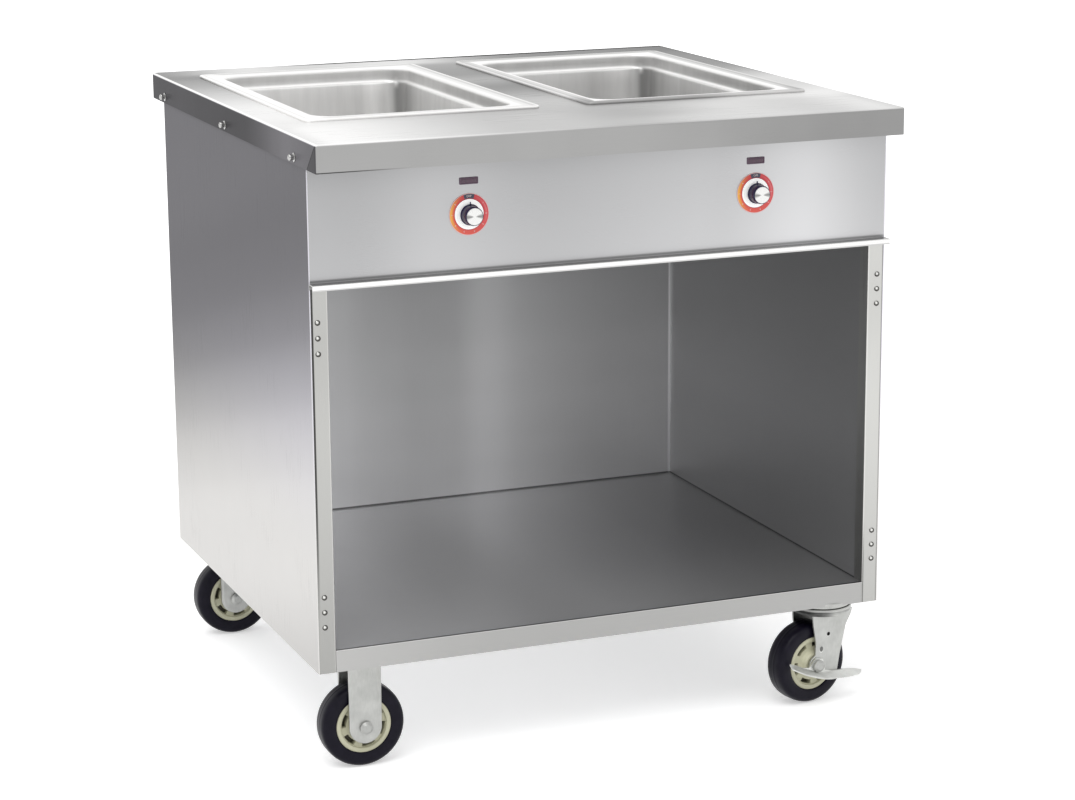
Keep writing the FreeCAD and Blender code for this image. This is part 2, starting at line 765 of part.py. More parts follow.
rear_tubes = []
for label, side in SIDES:
    node(front_post(label, side), f"front_post_{label}")
    height = (BODY_BOTTOM, DECK_UNDER)
    tube_x = spread(side, f"{SIDE_IN} - rear_post", SIDE_IN)
    tube_y = (f"{BACK_IN} - rear_post", BACK_IN)
    bore_x, bore_y = ((f"{start} + panel_sheet", f"{end} - panel_sheet") for start, end in (tube_x, tube_y))
    tube = block(f"rear_tube_{label}", tube_x, tube_y, height)
    bore = block(f"rear_bore_{label}", bore_x, bore_y, height)
    rear_tubes.append(cut(f"rear_post_{label}", tube, [bore]))
    node(block(f"liner_{label}", spread(side, POST_IN, f"{POST_IN} + panel_sheet"),
               (POST_BACK, f"{LINER_BACK} + panel_sheet"), (SHELF_TOP, CEILING)), f"liner_{label}")
node(group("rear_posts", rear_tubes), "rear_posts")

liner_y = (LINER_BACK, f"{LINER_BACK} + panel_sheet")
liner_folds = [block("liner_sheet", both(POST_IN), liner_y, (SHELF_TOP, CEILING))]
for label, side in SIDES:
    liner_folds.append(block(
        f"liner_fold_{label}", spread(side, f"{POST_IN} - panel_sheet", POST_IN),
        (LINER_BACK, f"{LINER_BACK} + fold"), (SHELF_TOP, CEILING)))
node(fused("liner_back", liner_folds), "liner_back")


def corner_notches(name, bottom, top):
    """Room for the four posts at the corners of a sheet that spans the body."""
    notches = []
    for label, side in SIDES:
        outer = f"({SIDE_IN} + fold)"
        notches.append(block(f"{name}_front_notch_{label}", spread(side, POST_IN, outer),
                             (f"{BODY_FRONT} - fold", POST_BACK), (bottom, top)))
        notches.append(block(f"{name}_rear_notch_{label}", spread(side, f"{SIDE_IN} - rear_post", outer),
                             (f"{BACK_IN} - rear_post", f"{BACK_IN} + fold"), (bottom, top)))
    return notches


shelf_z = (BODY_BOTTOM, SHELF_TOP)
shelf_y = (BODY_FRONT, BACK_IN)
shelf_blank = fused("shelf_folds", [
    block("shelf_top", both(SIDE_IN), shelf_y, (f"{SHELF_TOP} - panel_sheet", SHELF_TOP)),
    block("shelf_front", both(POST_IN), (BODY_FRONT, f"{BODY_FRONT} + panel_sheet"), shelf_z),
    block("shelf_rear", both(SIDE_IN), (f"{BACK_IN} - panel_sheet", BACK_IN), shelf_z),
] + [block(f"shelf_side_{label}", spread(side, f"{SIDE_IN} - panel_sheet", SIDE_IN), shelf_y, shelf_z)
     for label, side in SIDES])
shelf_notches = corner_notches("shelf", f"{BODY_BOTTOM} - fold", f"{SHELF_TOP} + fold")
shelf_cut = cut("shelf_cut", shelf_blank, shelf_notches)
node(rounded("bottom_shelf", shelf_cut, "bend",
             lambda a, b: end_points(a, b, lambda p: close(p.y, BODY_FRONT) and close(p.z, SHELF_TOP))),
     "bottom_shelf")

ceiling_y = (f"{BODY_FRONT} + panel_sheet", BACK_IN)
ceiling_sheet = block("ceiling_sheet", both(SIDE_IN), ceiling_y, (CEILING, CEILING_TOP))
ceiling_notches = corner_notches("ceiling", f"{PANEL_BOTTOM} - fold", f"{CEILING_TOP} + fold")
node(cut("bay_ceiling", ceiling_sheet, ceiling_notches[1::2]), "bay_ceiling")


def bolt_places():
    """The four bolts of a castor plate, as rules from the castor's middle."""
    reach_x = "(plate_length / 2 - channel_sheet - bolt_head_radius - bolt_gap)"
    reach_y = "(plate_width / 2 - bolt_edge)"
    return [(f"{x} * {reach_x}", f"{y} * {reach_y}") for x in (-1, 1) for y in (-1, 1)]


channels = []
for label, side in SIDES:
    middle = f"{side} * {CASTOR_SIDE}"
    y = (f"{BODY_FRONT} + panel_sheet", f"{BACK_IN} - panel_sheet")
    left, right = f"({middle} - plate_length / 2)", f"({middle} + plate_length / 2)"
    pieces = [
        block(f"channel_web_{label}", (left, right), y, (CASTOR_TOP, f"{CASTOR_TOP} + channel_sheet")),
        block(f"channel_left_{label}", (left, f"{left} + channel_sheet"), y, (CASTOR_TOP, CHANNEL_TOP)),
        block(f"channel_right_{label}", (f"{right} - channel_sheet", right), y, (CASTOR_TOP, CHANNEL_TOP)),
    ]
    holes = []
    for end, place in ENDS:
        for index, (bolt_x, bolt_y) in enumerate(bolt_places()):
            centre = (f"{middle} + {bolt_x}", f"{place} + {bolt_y}")
            holes.append(rod(f"channel_hole_{label}_{end}_{index}", "z", centre, "bolt_radius + hole_gap",
                             f"{CASTOR_TOP} - fold", f"{CASTOR_TOP} + fold"))
    channels.append(cut(f"channel_{label}", fused(f"channel_folds_{label}", pieces), holes))
node(group("castor_channels", channels), "castor_channels")


# --- Controls: thermostat behind the panel, dial, shaft, knob and its bright cap, pilot lamps ---------

OUTWARD = {"turn": "90", "axis": (1, 0, 0)}
KNOB_START = "(dial_sheet + bushing_nut + knob_gap)"
KNOB_END = f"({KNOB_START} + knob_length)"
SHAFT_END = f"({KNOB_START} + shaft_grip)"
CAP_RADIUS = "(knob_radius - cap_rim)"
CAP_SEAT = f"({KNOB_END} - cap_recess)"


def control_place(side):
    """The middle of a dial on the panel's face, from which the control's own Z axis runs out to the user."""
    return control_x(side), BODY_FRONT, DIAL_HEIGHT


def thermostat(label, side):
    """A housing clamped to the panel by a threaded bushing and its nut."""
    body = new_body(f"thermostat_{label}", control_place(side), **OUTWARD)
    half_x, half_y = "switch_width / 2", "switch_height / 2"
    case = outline(sketch_on(body, "XY_Plane", "-panel_sheet - switch_depth"), [
        (f"-{half_x}", f"-{half_y}"), (half_x, f"-{half_y}"), (half_x, half_y), (f"-{half_x}", half_y)])
    pad(body, case, "switch_depth")
    neck_top = "dial_sheet + bushing_nut"
    root = "-panel_sheet - neck_root"
    turn(body, [("0", root), ("bushing_radius", root),
                ("bushing_radius", "dial_sheet"), ("bushing_nut_radius", "dial_sheet"),
                ("bushing_nut_radius", neck_top), ("0", neck_top)])
    pocket(body, circle(sketch_on(body, "XY_Plane", neck_top), "0", "0", "shaft_radius + running_gap"),
           f"{neck_top} + panel_sheet + switch_depth / 2")
    return body


def knob(label, side):
    """A tapered knob with a raised pointer, a recess for the cap and a blind bore for the shaft."""
    skirt = "knob_radius + knob_flare"
    body = turned(f"knob_{label}", [
        ("0", KNOB_START), (skirt, KNOB_START), (skirt, f"{KNOB_START} + pointer_sheet"),
        ("knob_radius", f"{KNOB_START} + 2 * pointer_sheet"), ("knob_radius", KNOB_END), ("0", KNOB_END),
    ], place=control_place(side), **OUTWARD)
    soften(body, "knob_bend", lambda edge: all(close(v.Z, KNOB_END) for v in edge.Vertexes)
           and number("knob_radius") - edge.BoundBox.XMax < NEAR)
    pointer = outline(sketch_on(body, "XY_Plane", KNOB_START), [
        ("-pointer_width / 2", "0"), ("pointer_width / 2", "0"),
        ("pointer_tip / 2", "pointer_reach"), ("-pointer_tip / 2", "pointer_reach")])
    pad(body, pointer, "pointer_sheet")
    recess = circle(sketch_on(body, "XY_Plane", KNOB_END), "0", "0", f"{CAP_RADIUS} + running_gap")
    pocket(body, recess, "cap_recess")
    shaft_bore = circle(sketch_on(body, "XY_Plane", SHAFT_END), "0", "0", "shaft_radius + running_gap")
    pocket(body, shaft_bore, "shaft_grip")
    return body


def pilot_lamp(label, side):
    """A flat lens that clips into the panel, with its case behind."""
    x = control_x(side)
    half, rise = "(lamp_width / 2)", "(lamp_rise / 2)"
    lens = block(
        f"lamp_lip_{label}", (f"{x} - {half}", f"{x} + {half}"), (f"{BODY_FRONT} - lamp_lip", BODY_FRONT),
        (f"{LAMP_HEIGHT} - {rise}", f"{LAMP_HEIGHT} + {rise}"))
    case = block(
        f"lamp_case_{label}", (f"{x} - {half} + lamp_flange", f"{x} + {half} - lamp_flange"),
        (BODY_FRONT, f"{BODY_FRONT} + lamp_depth"),
        (f"{LAMP_HEIGHT} - {rise} + lamp_flange", f"{LAMP_HEIGHT} + {rise} - lamp_flange"))
    return fused(f"pilot_lamp_{label}", [lens, case])


lamps = []
for label, side in SIDES:
    where = {"place": control_place(side), **OUTWARD}
    node(thermostat(label, side), f"thermostat_{label}")
    dial_bore = "bushing_radius + hole_gap"
    node(turned(f"dial_plate_{label}", [
        (dial_bore, "0"), ("dial_radius", "0"), ("dial_radius", "dial_sheet"), (dial_bore, "dial_sheet"),
    ], **where), f"dial_plate_{label}")
    shaft_foot = "-panel_sheet - switch_depth / 2 + hole_gap"
    shaft_head = f"{SHAFT_END} - hole_gap"
    node(turned(f"control_shaft_{label}", [
        ("0", shaft_foot), ("shaft_radius", shaft_foot), ("shaft_radius", shaft_head), ("0", shaft_head),
    ], **where), f"control_shaft_{label}")
    node(knob(label, side), f"knob_{label}")
    cap_face = f"{CAP_SEAT} + cap_sheet"
    node(turned(f"knob_cap_{label}", [
        ("0", CAP_SEAT), (CAP_RADIUS, CAP_SEAT), (CAP_RADIUS, cap_face), ("0", cap_face),
    ], **where), f"knob_cap_{label}")
    lamps.append(pilot_lamp(label, side))
node(group("pilot_lamps", lamps), "pilot_lamps")


# --- Studs on the apron, rivets on the posts, bolts of the castors and the cable gland ----------------

studs = []
rivets = []
bolts = []
for label, side in SIDES:
    for spot, place_y in PIN_SPOTS.items():
        place = (f"{side} * {SIDE_OUT}", place_y, PIN_HEIGHT)
        studs.append(turned(f"stud_{label}_{spot}", [
            ("0", "0"), ("pin_radius", "0"), ("pin_radius", "deck_sheet"), ("pin_washer_radius", "deck_sheet"),
            ("pin_washer_radius", "deck_sheet + pin_washer"), ("pin_radius", "deck_sheet + pin_washer"),
            ("pin_radius", "deck_sheet + pin_reach - pin_lead"),
            ("pin_radius - pin_lead", "deck_sheet + pin_reach"),
            ("0", "deck_sheet + pin_reach")], place=place, turn=f"{side} * 90", axis=(0, 1, 0)))
    for index, height in enumerate(RIVET_HEIGHTS):
        place = (f"{side} * {RIVET_X}", BODY_FRONT, height)
        tail = "-panel_sheet - rivet_tail"
        rivets.append(turned(f"rivet_{label}_{index}", [
            ("0", tail), ("rivet_radius", tail), ("rivet_radius", "0"), ("rivet_head_radius", "0"),
            ("rivet_head_radius", "rivet_brim"), ("rivet_crown", "rivet_shoulder"),
            ("0", "rivet_head")], place=place, **OUTWARD))
    for end, place_y in ENDS:
        for index, (bolt_x, bolt_y) in enumerate(bolt_places()):
            centre = (f"{side} * {CASTOR_SIDE} + {bolt_x}", f"{place_y} + {bolt_y}")
            name = f"castor_bolt_{label}_{end}_{index}"
            over = f"({CASTOR_TOP} + channel_sheet)"
            bolts.append(fused(name, [
                rod(f"{name}_head", "z", centre, "bolt_head_radius", f"{LEG_TOP} - bolt_head", LEG_TOP, 6),
                rod(f"{name}_shank", "z", centre, "bolt_radius", LEG_TOP, f"{over} + bolt_head"),
                rod(f"{name}_nut", "z", centre, "bolt_head_radius", over, f"{over} + bolt_head", 6),
            ]))
node(group("side_pins", studs), "side_pins")
node(group("post_rivets", rivets), "post_rivets")
node(group("castor_bolts", bolts), "castor_bolts")

gland = turned("power_gland", [
    ("gland_bore", "-panel_sheet - gland_nut"), ("gland_flange", "-panel_sheet - gland_nut"),
    ("gland_flange", "-panel_sheet"), ("gland_radius", "-panel_sheet"), ("gland_radius", "0"),
    ("gland_flange", "0"), ("gland_flange", "gland_collar"), ("gland_radius", "gland_collar + gland_cone"),
    ("gland_radius", "gland_reach - gland_tip"), ("gland_radius - gland_tip", "gland_reach"),
    ("gland_bore", "gland_reach")],
    place=(GLAND_X, BODY_BACK, GLAND_HEIGHT), turn="-90", axis=(1, 0, 0))
node(gland, "power_gland")


# --- Castors: two rigid ones on the left, two swivelling ones with a brake on the right ---------------

BUSHING = "(axle_radius + running_gap + bushing_wall)"
WEB_FACE = f"({FORK_OUT} + ball_gap)"
BRAKE_OUT = f"({WEB_FACE} + pedal_sheet + ball_gap)"


def castor_at(side, place_y, offset="0"):
    """A castor's own frame: on the floor under the middle of its plate."""
    return {"place": (f"{side} * {CASTOR_SIDE}", place_y, "0"), "turn": offset}


def top_plate(body):
    """The plate that is bolted under the castor channel."""
    x, y = "plate_length / 2", "plate_width / 2"
    corners = [(f"-{x}", f"-{y}"), (x, f"-{y}"), (x, y), (f"-{x}", y)]
    pad(body, outline(sketch_on(body, "XY_Plane", LEG_TOP), corners), "plate_sheet")


def bolt_holes(body):
    """Holes through a castor plate at its four bolts."""
    drawing = sketch_on(body, "XY_Plane", CASTOR_TOP)
    for x, y in bolt_places():
        circle(drawing, x, y, "bolt_radius + hole_gap")
    pocket(body, drawing, "plate_sheet")


def fork_sides(body, corners, top):
    """Two parallel legs from a side view, with the wheel's gap between them."""
    side_view = outline(sketch_on(body, "XZ_Plane", f"-{FORK_OUT}"), corners)
    pad(body, side_view, f"2 * {FORK_OUT}")
    gap = outline(sketch_on(body, "XZ_Plane", f"{FORK_GAP} / 2"), [
        ("-plate_length", "0"), ("plate_length", "0"), ("plate_length", top), ("-plate_length", top)])
    pocket(body, gap, FORK_GAP)


def axle_hole(body, x):
    """The hole for the axle through both legs."""
    drawing = circle(sketch_on(body, "XZ_Plane", FORK_OUT), x, "wheel_radius", "axle_radius + running_gap")
    pocket(body, drawing, f"2 * {FORK_OUT}")


TIP_STEPS = 8


def round_tip(middle, half):
    """Corners of a round lower end about the axle, from the back of the leg under it to the front."""
    corners = []
    for step in range(TIP_STEPS + 1):
        angle = 180 + step * 180 / TIP_STEPS
        corners.append((f"{middle} + {half} * cos({angle})", f"wheel_radius + {half} * sin({angle})"))
    return corners


def rigid_fork(end, place_y):
    """A plate with two straight legs that end round under the axle."""
    body = new_body(f"rigid_fork_{end}", **castor_at(-1, place_y))
    corners = round_tip("0", "(fork_leg / 2)") + [("fork_leg / 2", LEG_TOP), ("-fork_leg / 2", LEG_TOP)]
    fork_sides(body, corners, LEG_TOP)
    top_plate(body)
    bolt_holes(body)
    axle_hole(body, "0")
    return body


def swivel_plate(end, place_y):
    """A plate with the upper race of the swivel pressed into it."""
    body = new_body(f"swivel_plate_{end}", **castor_at(1, place_y))
    top_plate(body)
    turn(body, [("race_wall", f"{LEG_TOP} - race_height"), ("race_radius", f"{LEG_TOP} - race_height"),
                ("race_radius", LEG_TOP), ("race_wall", LEG_TOP)])
    bolt_holes(body)
    return body


def swivel_fork(end, place_y):
    """A round crown with a low wall, and two raked legs that carry the wheel behind the swivel axis."""
    body = new_body(f"swivel_fork_{end}", **castor_at(1, place_y, "castor_turn"))
    axle_x = "(-castor_trail)"
    rear_half_of_tip = round_tip(axle_x, "leg_tip")[:TIP_STEPS // 2 + 1]
    corners = rear_half_of_tip + [
        (f"{axle_x} + leg_heel", "wheel_radius - leg_heel_drop"),
        (f"{axle_x} + leg_waist", "wheel_radius + leg_waist_rise"),
        (f"{axle_x} + leg_knee", "wheel_radius + leg_knee_rise"),
        ("leg_root_ahead", CROWN_UNDER), ("leg_root_ahead", CROWN_TOP),
        ("-leg_root_behind", CROWN_TOP), ("-leg_root_behind", CROWN_UNDER),
        (f"{axle_x} - leg_nape", "wheel_radius + leg_nape_rise"),
        (f"{axle_x} - leg_back", "wheel_radius + leg_back_rise"),
        (f"{axle_x} - leg_back", "wheel_radius + leg_boss_rise")]
    fork_sides(body, corners, CROWN_UNDER)
    crown = circle(sketch_on(body, "XY_Plane", CROWN_UNDER), "0", "0", "crown_radius")
    pad(body, crown, "crown_sheet")
    wall, rim_top = "(crown_radius - crown_wall)", f"{CROWN_TOP} + crown_rim"
    turn(body, [(wall, CROWN_UNDER), ("crown_radius", CROWN_UNDER), ("crown_radius", rim_top), (wall, rim_top)])
    eye = circle(sketch_on(body, "XY_Plane", CROWN_TOP), "0", "0", "kingpin_radius + running_gap")
    pocket(body, eye, "crown_sheet")
    axle_hole(body, axle_x)
    vents = sketch_on(body, "XZ_Plane", FORK_OUT)
    for vent in ("vent_upper", "vent_lower"):
        circle(vents, f"{axle_x} + {vent}_reach", f"wheel_radius + {vent}_rise", "vent_radius")
    pocket(body, vents, f"2 * {FORK_OUT}")
    return body


def kingpin(end, place_y):
    """The pin that holds the crown up to the plate, with its nut under the crown."""
    nut_top = f"({CROWN_UNDER} - ball_gap)"
    nut_foot = f"{nut_top} - kingpin_nut"
    return turned(f"kingpin_{end}", [
        ("0", nut_foot), ("kingpin_nut_radius", nut_foot), ("kingpin_nut_radius", nut_top),
        ("kingpin_radius", nut_top), ("kingpin_radius", LEG_TOP), ("0", LEG_TOP)],
        **castor_at(1, place_y))


def swivel_balls(end, place_y):
    """The ring of balls between the race and the crown."""
    balls = []
    for index in range(int(number("ball_count"))):
        ball = doc.addObject("Part::Sphere", f"ball_{end}_{index}")
        ball.setExpression("Radius", bound("ball_radius"))
        angle = f"{index} * 360 / ball_count"
        ball.setExpression("Placement.Base.x", bound(f"{CASTOR_SIDE} + ball_circle * cos({angle})"))
        ball.setExpression("Placement.Base.y", bound(f"{place_y} + ball_circle * sin({angle})"))
        ball.setExpression("Placement.Base.z", bound(f"{CROWN_TOP} + ball_gap + ball_radius"))
        balls.append(ball)
    return balls


def wheel_middle(side, place_y):
    """The middle of a wheel: under its plate, or behind the swivel axis by the trail."""
    if side < 0:
        return f"-{CASTOR_SIDE}", place_y, "wheel_radius"
    return (f"{CASTOR_SIDE} - castor_trail * cos(castor_turn)",
            f"{place_y} - castor_trail * sin(castor_turn)", "wheel_radius")


def on_wheel(body, side, place_y, tilt="0", roll="90"):
    """Set a body on the axle of a wheel, turned with its castor, then tilted and rolled by rules."""
    heading = "castor_turn" if side > 0 else "0"
    body.setExpression("Placement", bound(
        f"placement(vector({'; '.join(wheel_middle(side, place_y))}); rotation({heading}; {tilt}; {roll}))"))
    return body


def hub(name, side, place_y):
    """A moulded wheel centre with a rim, a recessed web with windows, and a boss."""
    half, recessed, boss = "(hub_width / 2)", "(hub_width / 2 - hub_recess)", "(hub_boss_width / 2)"
    upper = [("hub_radius", half), ("hub_radius - hub_rim", half), ("hub_radius - hub_rim", recessed),
             ("hub_boss", recessed), ("hub_boss - hub_recess", boss), (f"{BUSHING} + running_gap", boss)]
    lower = [(radius, f"-{height}") for radius, height in reversed(upper)]
    body = turned(name, lower + upper)
    window = sketch_on(body, "XY_Plane", recessed)
    window_outline(window)
    before = pocket(body, window, f"2 * {recessed}")
    pattern = body.newObject("PartDesign::PolarPattern", f"{name}_windows")
    pattern.Originals = [before]
    pattern.Axis = (window, ["N_Axis"])
    pattern.Angle = 360
    pattern.setExpression("Occurrences", bound("window_count"))
    body.Tip = pattern
    return on_wheel(body, side, place_y)


WINDOW_STEPS = 4


def window_outline(drawing):
    """One window: a piece of a ring, drawn with short straight sides."""
    outer = "(hub_radius - hub_rim - window_margin)"
    inner = f"({outer} - window_width)"
    angles = [f"(window_angle * {step / WINDOW_STEPS - 0.5})" for step in range(WINDOW_STEPS + 1)]
    far_side = [(f"{outer} * cos({angle})", f"{outer} * sin({angle})") for angle in angles]
    near_side = [(f"{inner} * cos({angle})", f"{inner} * sin({angle})") for angle in reversed(angles)]
    outline(drawing, far_side + near_side)


def tyre(name, side, place_y):
    """A solid tread with rounded shoulders, moulded on to the hub."""
    half = "(tread_width / 2)"
    body = turned(name, [("hub_radius", f"-{half}"), ("wheel_radius", f"-{half}"), ("wheel_radius", half),
                         ("hub_radius", half)])
    soften(body, "tread_bend", lambda edge: edge.BoundBox.XMax > number("wheel_radius") - NEAR
           and edge.BoundBox.ZLength < NEAR)
    return on_wheel(body, side, place_y)


def axle_set(name, side, place_y):
    """Axle bolt, nut and the bushing that the wheel turns on."""
    front = BRAKE_OUT if side > 0 else FORK_OUT
    back = f"(-{FORK_OUT})"
    bolt = turned(f"{name}_bolt", [
        ("0", f"{back} - axle_head"), ("axle_head_radius", f"{back} - axle_head"), ("axle_head_radius", back),
        ("axle_radius", back), ("axle_radius", front), ("axle_head_radius", front),
        ("axle_head_radius", f"{front} + axle_brim"), ("axle_crown", f"{front} + axle_head"),
        ("0", f"{front} + axle_head")])
    bore, half = "axle_radius + running_gap", f"{FORK_GAP} / 2"
    sleeve = turned(f"{name}_bushing", [
        (bore, f"-{half}"), (BUSHING, f"-{half}"), (BUSHING, half), (bore, half)])
    return [on_wheel(bolt, side, place_y), on_wheel(sleeve, side, place_y)]


def brake_pedal(end, place_y):
    """A lever on the axle outside the front leg, with a foot plate along its lower edge, pressed down."""
    body = new_body(f"brake_pedal_{end}")
    base = "(-pedal_drop)"
    tip, brow, crest = f"{base} + pedal_sheet", f"{base} + pedal_brow", f"{base} + pedal_web"
    web = outline(sketch_on(body, "XZ_Plane", WEB_FACE), [
        ("-pedal_back", base), ("pedal_front", base), ("pedal_front", tip), ("pedal_shoulder", brow),
        ("pedal_eye", crest), ("-pedal_eye", crest), ("-pedal_shoulder", brow), ("-pedal_back", tip)])
    pad(body, web, "pedal_sheet")
    out = f"(-{WEB_FACE})"
    foot = outline(sketch_on(body, "XY_Plane", base), [
        ("-pedal_back", out), ("-foot_back", f"{out} - pedal_foot"), ("foot_front", f"{out} - pedal_foot"),
        ("pedal_front", f"{out} - foot_nose"), ("pedal_front", out)])
    pad(body, foot, "pedal_sheet")
    eye = circle(sketch_on(body, "XZ_Plane", BRAKE_OUT), "0", "0", "axle_radius + running_gap")
    pocket(body, eye, "2 * pedal_sheet")
    return on_wheel(body, 1, place_y, "pedal_tilt", "0")


rigid_axles = []
kingpins = []
balls = []
for end, place_y in ENDS:
    node(rigid_fork(end, place_y), f"rigid_fork_{end}")
    rigid_axles.extend(axle_set(f"rigid_axle_{end}", -1, place_y))
    node(swivel_plate(end, place_y), f"swivel_plate_{end}")
    node(swivel_fork(end, place_y), f"swivel_fork_{end}")
    kingpins.append(kingpin(end, place_y))
    balls.extend(swivel_balls(end, place_y))
    node(group(f"swivel_axle_{end}", axle_set(f"swivel_axle_{end}_set", 1, place_y)), f"swivel_axle_{end}")
    node(brake_pedal(end, place_y), f"brake_pedal_{end}")
    for label, side in SIDES:
        node(hub(f"hub_{end}_{label}", side, place_y), f"hub_{end}_{label}")
        node(tyre(f"tyre_{end}_{label}", side, place_y), f"tyre_{end}_{label}")
node(group("rigid_axles", rigid_axles), "rigid_axles")
node(group("kingpins", kingpins), "kingpins")
node(group("swivel_balls", balls), "swivel_balls")


# --- Check every piece, then write it ------------------------------------------------------------------

doc.recompute()
faults = [item.Name for item in doc.Objects if {"Invalid", "Error"} & set(item.State)]
faults += [item.Label for item in nodes if item.Shape.isNull() or not item.Shape.isValid()]
if faults:
    raise RuntimeError("these pieces failed: " + ", ".join(faults))
os.makedirs("parts", exist_ok=True)
for item in nodes:
    item.Shape.exportStep(f"parts/{item.Label}.step")
print(len(nodes), "pieces written")
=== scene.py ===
import math

import bmesh
import bpy
import numpy as np
from mathutils import Matrix


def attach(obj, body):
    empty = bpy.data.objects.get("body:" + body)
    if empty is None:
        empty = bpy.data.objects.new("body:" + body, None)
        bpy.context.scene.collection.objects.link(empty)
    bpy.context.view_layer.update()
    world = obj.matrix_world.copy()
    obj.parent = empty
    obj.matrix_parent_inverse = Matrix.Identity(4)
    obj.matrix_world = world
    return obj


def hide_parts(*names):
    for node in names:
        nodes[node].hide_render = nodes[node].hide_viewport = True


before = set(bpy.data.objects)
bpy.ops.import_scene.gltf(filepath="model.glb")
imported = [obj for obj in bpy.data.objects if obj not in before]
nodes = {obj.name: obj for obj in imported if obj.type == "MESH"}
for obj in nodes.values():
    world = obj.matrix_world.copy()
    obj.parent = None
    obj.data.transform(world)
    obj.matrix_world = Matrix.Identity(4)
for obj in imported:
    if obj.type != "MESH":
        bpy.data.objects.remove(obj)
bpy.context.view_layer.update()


# --- Point of view ----------------------------------------
# The table stands a little turned and is seen from above its front left corner through a long
# lens, so that its upright edges run almost side by side.

def placed(name, data):
    """A new object in the scene, at the origin."""
    made = bpy.data.objects.new(name, data)
    bpy.context.scene.collection.objects.link(made)
    return made


EYE_PLACE = (-1.5836, -4.0742, 1.4778)
yaw, pitch, roll = np.radians((21.762, -13.515, -0.408))
eye = placed("eye", bpy.data.cameras.new("eye"))
eye.data.lens = 96.52
eye.data.sensor_width = 36
eye.data.clip_end = 200
eye.matrix_world = (Matrix.Translation(EYE_PLACE) @ Matrix.Rotation(-yaw, 4, "Z")
                    @ Matrix.Rotation(math.pi / 2 + pitch, 4, "X") @ Matrix.Rotation(roll, 4, "Z"))
bpy.context.scene.camera = eye


# --- Worktop ----------------------------------------------
# One sheet of stainless steel, brushed from side to side, with its four edges folded down into an
# apron. The folds meet in a mitre at the corners, and light gathers along each bend.

class Reading:
    """A value that changes over a surface. Arithmetic on it adds the Math node that works it out."""

    def __init__(self, finish, socket):
        self.finish = finish
        self.socket = socket

    def worked(self, operation, *terms):
        return self.finish.node("Math", {"operation": operation}, dict(enumerate(terms)))

    def __add__(self, other):
        return self.worked("ADD", self, other)

    def __sub__(self, other):
        return self.worked("SUBTRACT", self, other)

    def __rsub__(self, other):
        return self.worked("SUBTRACT", other, self)

    def __mul__(self, other):
        return self.worked("MULTIPLY", self, other)

    def __truediv__(self, other):
        return self.worked("DIVIDE", self, other)

    def __pow__(self, other):
        return self.worked("POWER", self, other)

    def __abs__(self):
        return self.worked("ABSOLUTE", self)

    def most(self, other):
        return self.worked("MAXIMUM", self, other)

    def rise(self, low, high):
        """0 up to low, 1 from high on, and a smooth climb between them."""
        return self.finish.node("MapRange", {"interpolation_type": "SMOOTHSTEP"},
                                {"Value": self, "From Min": low, "From Max": high})

    def near(self, middle, half):
        """1 at the middle value, falling to 0 at half a width on either side of it."""
        return 1 - abs(self - middle).rise(0, half)

    def graded(self, stops):
        """Grey levels from 0 to 255 met along the value, turned into shares of white."""
        first, last = stops[0][0], stops[-1][0]
        shares = [((at - first) / (last - first), grey / 255) for at, grey in stops]
        return self.finish.node("ValToRGB", {"stops": shares}, {0: (self - first) / (last - first)})

    __radd__ = __add__
    __rmul__ = __mul__


class Finish:
    """A material, or the sky, whose nodes are added one at a time around its own shader."""

    def __init__(self, name, kind="materials", shader="Principled BSDF"):
        self.material = getattr(bpy.data, kind).new(name)
        self.material.use_nodes = True
        self.tree = self.material.node_tree
        self.shader = self.tree.nodes[shader]

    def feed(self, socket, value):
        if isinstance(value, Reading):
            self.tree.links.new(value.socket, socket)
        else:
            socket.default_value = value

    def node(self, kind, settings=(), values=(), output=0):
        """A node of a kind, with its settings made before its sockets are fed."""
        made = self.tree.nodes.new("ShaderNode" + kind)
        for name, setting in dict(settings).items():
            if name == "stops":
                band = made.color_ramp
                band.interpolation = "CARDINAL"
                for place, grey in setting[1:-1]:
                    band.elements.new(place)
                for element, (place, grey) in zip(band.elements, setting):
                    element.position = place
                    element.color = (grey, grey, grey, 1)
            else:
                setattr(made, name, setting)
        for key, value in dict(values).items():
            self.feed(made.inputs[key], value)
        return Reading(self, made.outputs[output])

    def place(self):
        """Across, back and up, in metres, for the point being shaded."""
        axes = self.node("SeparateXYZ", values={0: self.node("TexCoord", output="Object")}).socket.node
        return [Reading(self, axes.outputs[index]) for index in range(3)]

    def noise(self, swells, detail=2.0):
        """Noise from about 0 to 1, with so many swells in a metre: one number, or one for each axis."""
        spot = self.node("Mapping", values={"Vector": self.node("TexCoord", output="Object"),
                                            "Scale": np.broadcast_to(swells, 3).tolist()})
        return self.node("TexNoise", values={"Vector": spot, "Scale": 1.0, "Detail": detail})

    def blend(self, share, start, end):
        """The colour a share of the way from one colour to another."""
        full = [tint if isinstance(tint, Reading) else (*tint, 1) for tint in (start, end)]
        return self.node("Mix", {"data_type": "RGBA"}, {0: share, 6: full[0], 7: full[1]}, 2)

    def lit(self, grey, tint):
        """A share of white as the eye grades it, as a colour with a tint."""
        return self.blend(grey ** 2.2, (0, 0, 0), tint)

    def relief(self, height, strength, distance):
        """Small bumps from a reading of height."""
        self.feed(self.shader.inputs["Normal"], self.node(
            "Bump", values={"Strength": strength, "Distance": distance, "Height": height}))

    def wear(self, **sockets):
        """Feed the shader's sockets, named with underscores for their spaces."""
        for name, value in sockets.items():
            self.feed(self.shader.inputs[name.replace("_", " ")], value)
        return self


# steel's own tint, and a faint blue where it faces the room's shade
WARM = (1.0, 0.995, 0.985)
COOL = (0.985, 0.986, 1.0)


